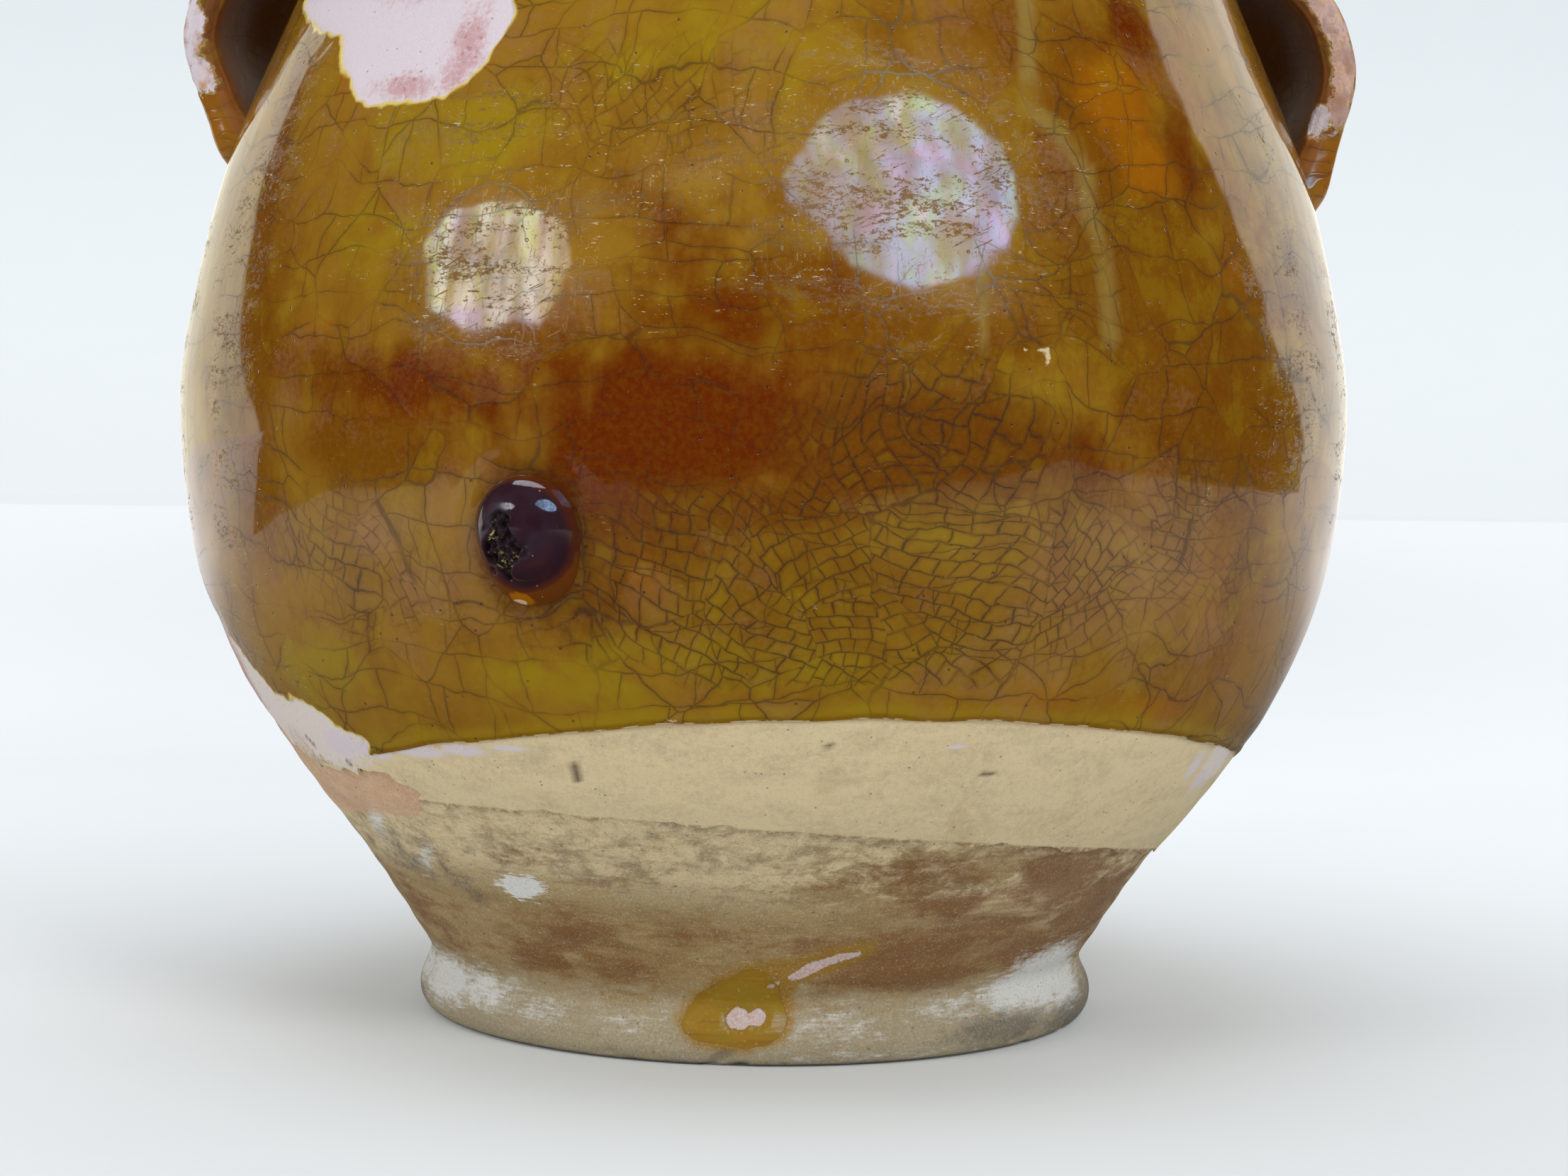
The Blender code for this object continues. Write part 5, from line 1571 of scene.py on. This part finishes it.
def stage_piece(name, corners, faces, material, hidden_from):
    """A piece of the stage, hidden from some kinds of ray."""
    mesh = bpy.data.meshes.new(name)
    mesh.from_pydata([tuple(corner) for corner in corners], [], faces)
    mesh.materials.append(material)
    made = bpy.data.objects.new(name, mesh)
    bpy.context.scene.collection.objects.link(made)
    for ray in hidden_from:
        setattr(made, "visible_" + ray, False)
    return made


def reflected_piece(name, corners, faces, material, lit=()):
    """A piece that only gloss sees, with marks of how lit its corners are."""
    made = stage_piece(name, corners, faces, material, ("camera", "diffuse", "shadow"))
    if len(lit):
        made.data.attributes.new("lit", "FLOAT", "POINT").data.foreach_set("value", lit)


def make_softbox(name, middle, across, up, shares, finish):
    """An outline of light with a dark edge."""
    middle, across, up = (np.array(part) for part in (middle, across, up))
    corners = [middle + across * x * k + up * y * k for k in (1, SOFT_EDGE_SHARE, 0) for x, y in shares]
    count = len(shares)
    lit = [0.0] * count + [1.0] * 2 * count
    reflected_piece(name, corners, ring_faces(3, count), glow_finish(name, **finish), lit)


def make_wall(name, back, low_end, high_end, tone, level):
    """A bright wall round one side, from an azimuth at the back to an end that leans with the height."""
    corners = []
    lit = []
    for share in np.linspace(0, 1, WALL_ROWS):
        end = low_end + (high_end - low_end) * min(1, share * WALL_LEAN_RATE)
        for place in np.linspace(0, 1, WALL_COLUMNS):
            turn = math.radians(back + (end - back) * place)
            x, y = WALL_RADIUS * math.sin(turn), -WALL_RADIUS * math.cos(turn)
            corners.append((x, y, WALL_HEIGHT * share))
            lit.append(min(1, (1 - place) * abs(end - back) / WALL_EDGE_WIDTH))
    faces = [
        (k, k + 1, k + WALL_COLUMNS + 1, k + WALL_COLUMNS)
        for k in range((WALL_ROWS - 1) * WALL_COLUMNS) if (k + 1) % WALL_COLUMNS
    ]
    reflected_piece(name, corners, faces, glow_finish(name, tone, level, soft=0.12), lit)


def make_lamp(name, place, size, power, tone):
    """A round lamp that gloss doesn't see, aimed at the pot."""
    data = bpy.data.lights.new(name, "AREA")
    data.shape = "DISK"
    data.size = size
    data.energy = power
    data.color = tone
    made = bpy.data.objects.new(name, data)
    aim = np.array(LAMP_AIM) - np.array(place)
    aim = aim / np.linalg.norm(aim)
    side = np.cross(aim, (0, 0, 1.0))
    side = side / np.linalg.norm(side)
    made.matrix_world = seen_from(place, side, np.cross(side, aim), -aim)
    made.visible_glossy = False
    made.visible_camera = False
    bpy.context.scene.collection.objects.link(made)


def seen_from(place, x, y, z):
    """The matrix of an object at a place with these axes."""
    return Matrix([(x[k], y[k], z[k], place[k]) for k in range(3)] + [(0, 0, 0, 1)])


def make_camera(stage):
    """The camera in front of the pot, turned, tilted and rolled."""
    data = bpy.data.cameras.new("camera")
    data.lens = stage.lens
    data.sensor_width = 36
    data.clip_start = 0.05
    made = bpy.data.objects.new("camera", data)
    yaw, pitch, roll = stage.camera_yaw, stage.camera_pitch, stage.camera_roll
    ahead = np.array((math.sin(yaw) * math.cos(pitch), math.cos(yaw) * math.cos(pitch), -math.sin(pitch)))
    right = np.array((math.cos(yaw), -math.sin(yaw), 0))
    over = np.cross(right, ahead)
    x = right * math.cos(roll) + over * math.sin(roll)
    y = over * math.cos(roll) - right * math.sin(roll)
    made.matrix_world = seen_from((0, -stage.camera_distance, stage.camera_height), x, y, -ahead)
    bpy.context.scene.collection.objects.link(made)
    bpy.context.scene.camera = made


def make_world(stage):
    """Soft light all round, nearly dark to the pot's gloss."""
    world = bpy.data.worlds.new("studio")
    bpy.context.scene.world = world
    sky = Nodes(world)
    soft = sky.node("Background", {"Color": (0.96, 0.98, 1.0), "Strength": stage.sky_level})
    dim = sky.node("Background", {"Color": (1.0, 0.95, 0.88), "Strength": 0.02})
    gloss = sky.node("LightPath", output="Is Glossy Ray")
    sky.node("OutputWorld", {"Surface": sky.node("MixShader", {0: gloss, 1: soft, 2: dim})})


def make_stage(stage, colours):
    """The floor, the backdrop, the lights and the camera."""
    pale = paper_finish(colours.backdrop, 0.46)
    reach, far = TABLE_REACH, GROUND_REACH
    front = -stage.table_front
    table = [(-reach, front, 0), (reach, front, 0), (reach, reach, 0), (-reach, reach, 0)]
    stage_piece("table", table, [(0, 1, 2, 3)], pale, ("glossy",))
    corners = [*table, (-far, -far, 0), (far, -far, 0), (far, far, 0), (-far, far, 0)]
    ring = [(0, 4, 5, 1), (1, 5, 6, 2), (2, 6, 7, 3), (3, 7, 4, 0)]
    stage_piece("ground", corners, ring, pale, ("glossy",))
    turn = np.linspace(0, 2 * math.pi, BOWL_STEPS, endpoint=False)
    corners = [(r * math.sin(t), -r * math.cos(t), z) for r, z in BOWL_ROWS for t in turn]
    faces = ring_faces(len(BOWL_ROWS), BOWL_STEPS)
    bowl = stage_piece("backdrop", corners, faces, pale, ("glossy", "diffuse", "shadow"))
    bowl.data.shade_smooth()
    shine = glow_finish("table_shine", (1.0, 0.97, 0.95), 1.15, fade=(60, 480, 0.05), behind=0.365)
    corners = [(x, y, MM) for x, y in SHINE_OUTLINE]
    reflected_piece("table_shine", corners, [tuple(range(len(corners)))], shine)
    for softbox in SOFTBOXES:
        make_softbox(*softbox)
    for wall in WALLS:
        make_wall(*wall)
    for name, place, size, power, tone in LAMPS:
        make_lamp(name, place, size, getattr(stage, power), tone)
    make_world(stage)
    make_camera(stage)
    bpy.context.scene.view_settings.view_transform = "Standard"


# Operators and panel

class MakeBody(bpy.types.Operator):
    """Make the thrown clay wall with its foot, rim and inside"""

    bl_idname = "confit.body"
    bl_label = "Thrown clay"

    def execute(self, context):
        make_body(context.scene.pot_sizes, context.scene.pot_colours)
        return {"FINISHED"}


class MakeSlip(bpy.types.Operator):
    """Make the white slip poured over the outside"""

    bl_idname = "confit.slip"
    bl_label = "Slip"

    def execute(self, context):
        make_slip(context.scene.pot_sizes, context.scene.pot_colours)
        return {"FINISHED"}


class MakeOuterGlaze(bpy.types.Operator):
    """Make the crazed outer glaze with its losses"""

    bl_idname = "confit.outer_glaze"
    bl_label = "Outer glaze"

    def execute(self, context):
        make_outer_glaze(context.scene.pot_sizes, context.scene.pot_colours)
        return {"FINISHED"}


class MakeLining(bpy.types.Operator):
    """Make the glaze inside the pot"""

    bl_idname = "confit.lining"
    bl_label = "Lining glaze"

    def execute(self, context):
        make_lining(context.scene.pot_sizes, context.scene.pot_colours)
        return {"FINISHED"}


class MakeHandles(bpy.types.Operator):
    """Make the two strap handles"""

    bl_idname = "confit.handles"
    bl_label = "Handles"

    def execute(self, context):
        make_handles(context.scene.pot_sizes, context.scene.pot_colours)
        return {"FINISHED"}


class MakeLump(bpy.types.Operator):
    """Make the dark glass lump fused to the wall"""

    bl_idname = "confit.lump"
    bl_label = "Glass lump"

    def execute(self, context):
        make_lump(context.scene.pot_sizes, context.scene.pot_colours)
        return {"FINISHED"}


class MakeFootRun(bpy.types.Operator):
    """Make the run of glaze on the foot"""

    bl_idname = "confit.foot_run"
    bl_label = "Run on the foot"

    def execute(self, context):
        make_foot_run(context.scene.pot_sizes, context.scene.pot_colours)
        return {"FINISHED"}


class MakeStage(bpy.types.Operator):
    """Make the floor, the backdrop, the lights and the camera"""

    bl_idname = "confit.stage"
    bl_label = "Stage"

    def execute(self, context):
        make_stage(context.scene.pot_stage, context.scene.pot_colours)
        return {"FINISHED"}


STEPS = (MakeBody, MakeSlip, MakeOuterGlaze, MakeLining, MakeHandles, MakeLump, MakeFootRun, MakeStage)


class PotPanel(bpy.types.Panel):
    """The pot's steps, its sizes and its colours"""

    bl_idname = "VIEW3D_PT_confit_pot"
    bl_label = "Confit pot"
    bl_space_type = "VIEW_3D"
    bl_region_type = "UI"
    bl_category = "Pot"

    def draw(self, context):
        for step in STEPS:
            self.layout.operator(step.bl_idname)
        for group in (context.scene.pot_sizes, context.scene.pot_colours, context.scene.pot_stage):
            column = self.layout.column(align=True)
            for name in group.__annotations__:
                column.prop(group, name)


GROUPS = {"pot_sizes": PotSizes, "pot_colours": PotColours, "pot_stage": PotStage}


def register():
    for made in (*GROUPS.values(), *STEPS, PotPanel):
        bpy.utils.register_class(made)
    for name, group in GROUPS.items():
        setattr(bpy.types.Scene, name, bpy.props.PointerProperty(type=group))


def unregister():
    for name in GROUPS:
        delattr(bpy.types.Scene, name)
    for made in (PotPanel, *reversed(STEPS), *reversed(GROUPS.values())):
        bpy.utils.unregister_class(made)


def main():
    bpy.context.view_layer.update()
    register()
    for step in STEPS:
        group, name = step.bl_idname.split(".")
        getattr(getattr(bpy.ops, group), name)()


if __name__ == "__main__":
    main()
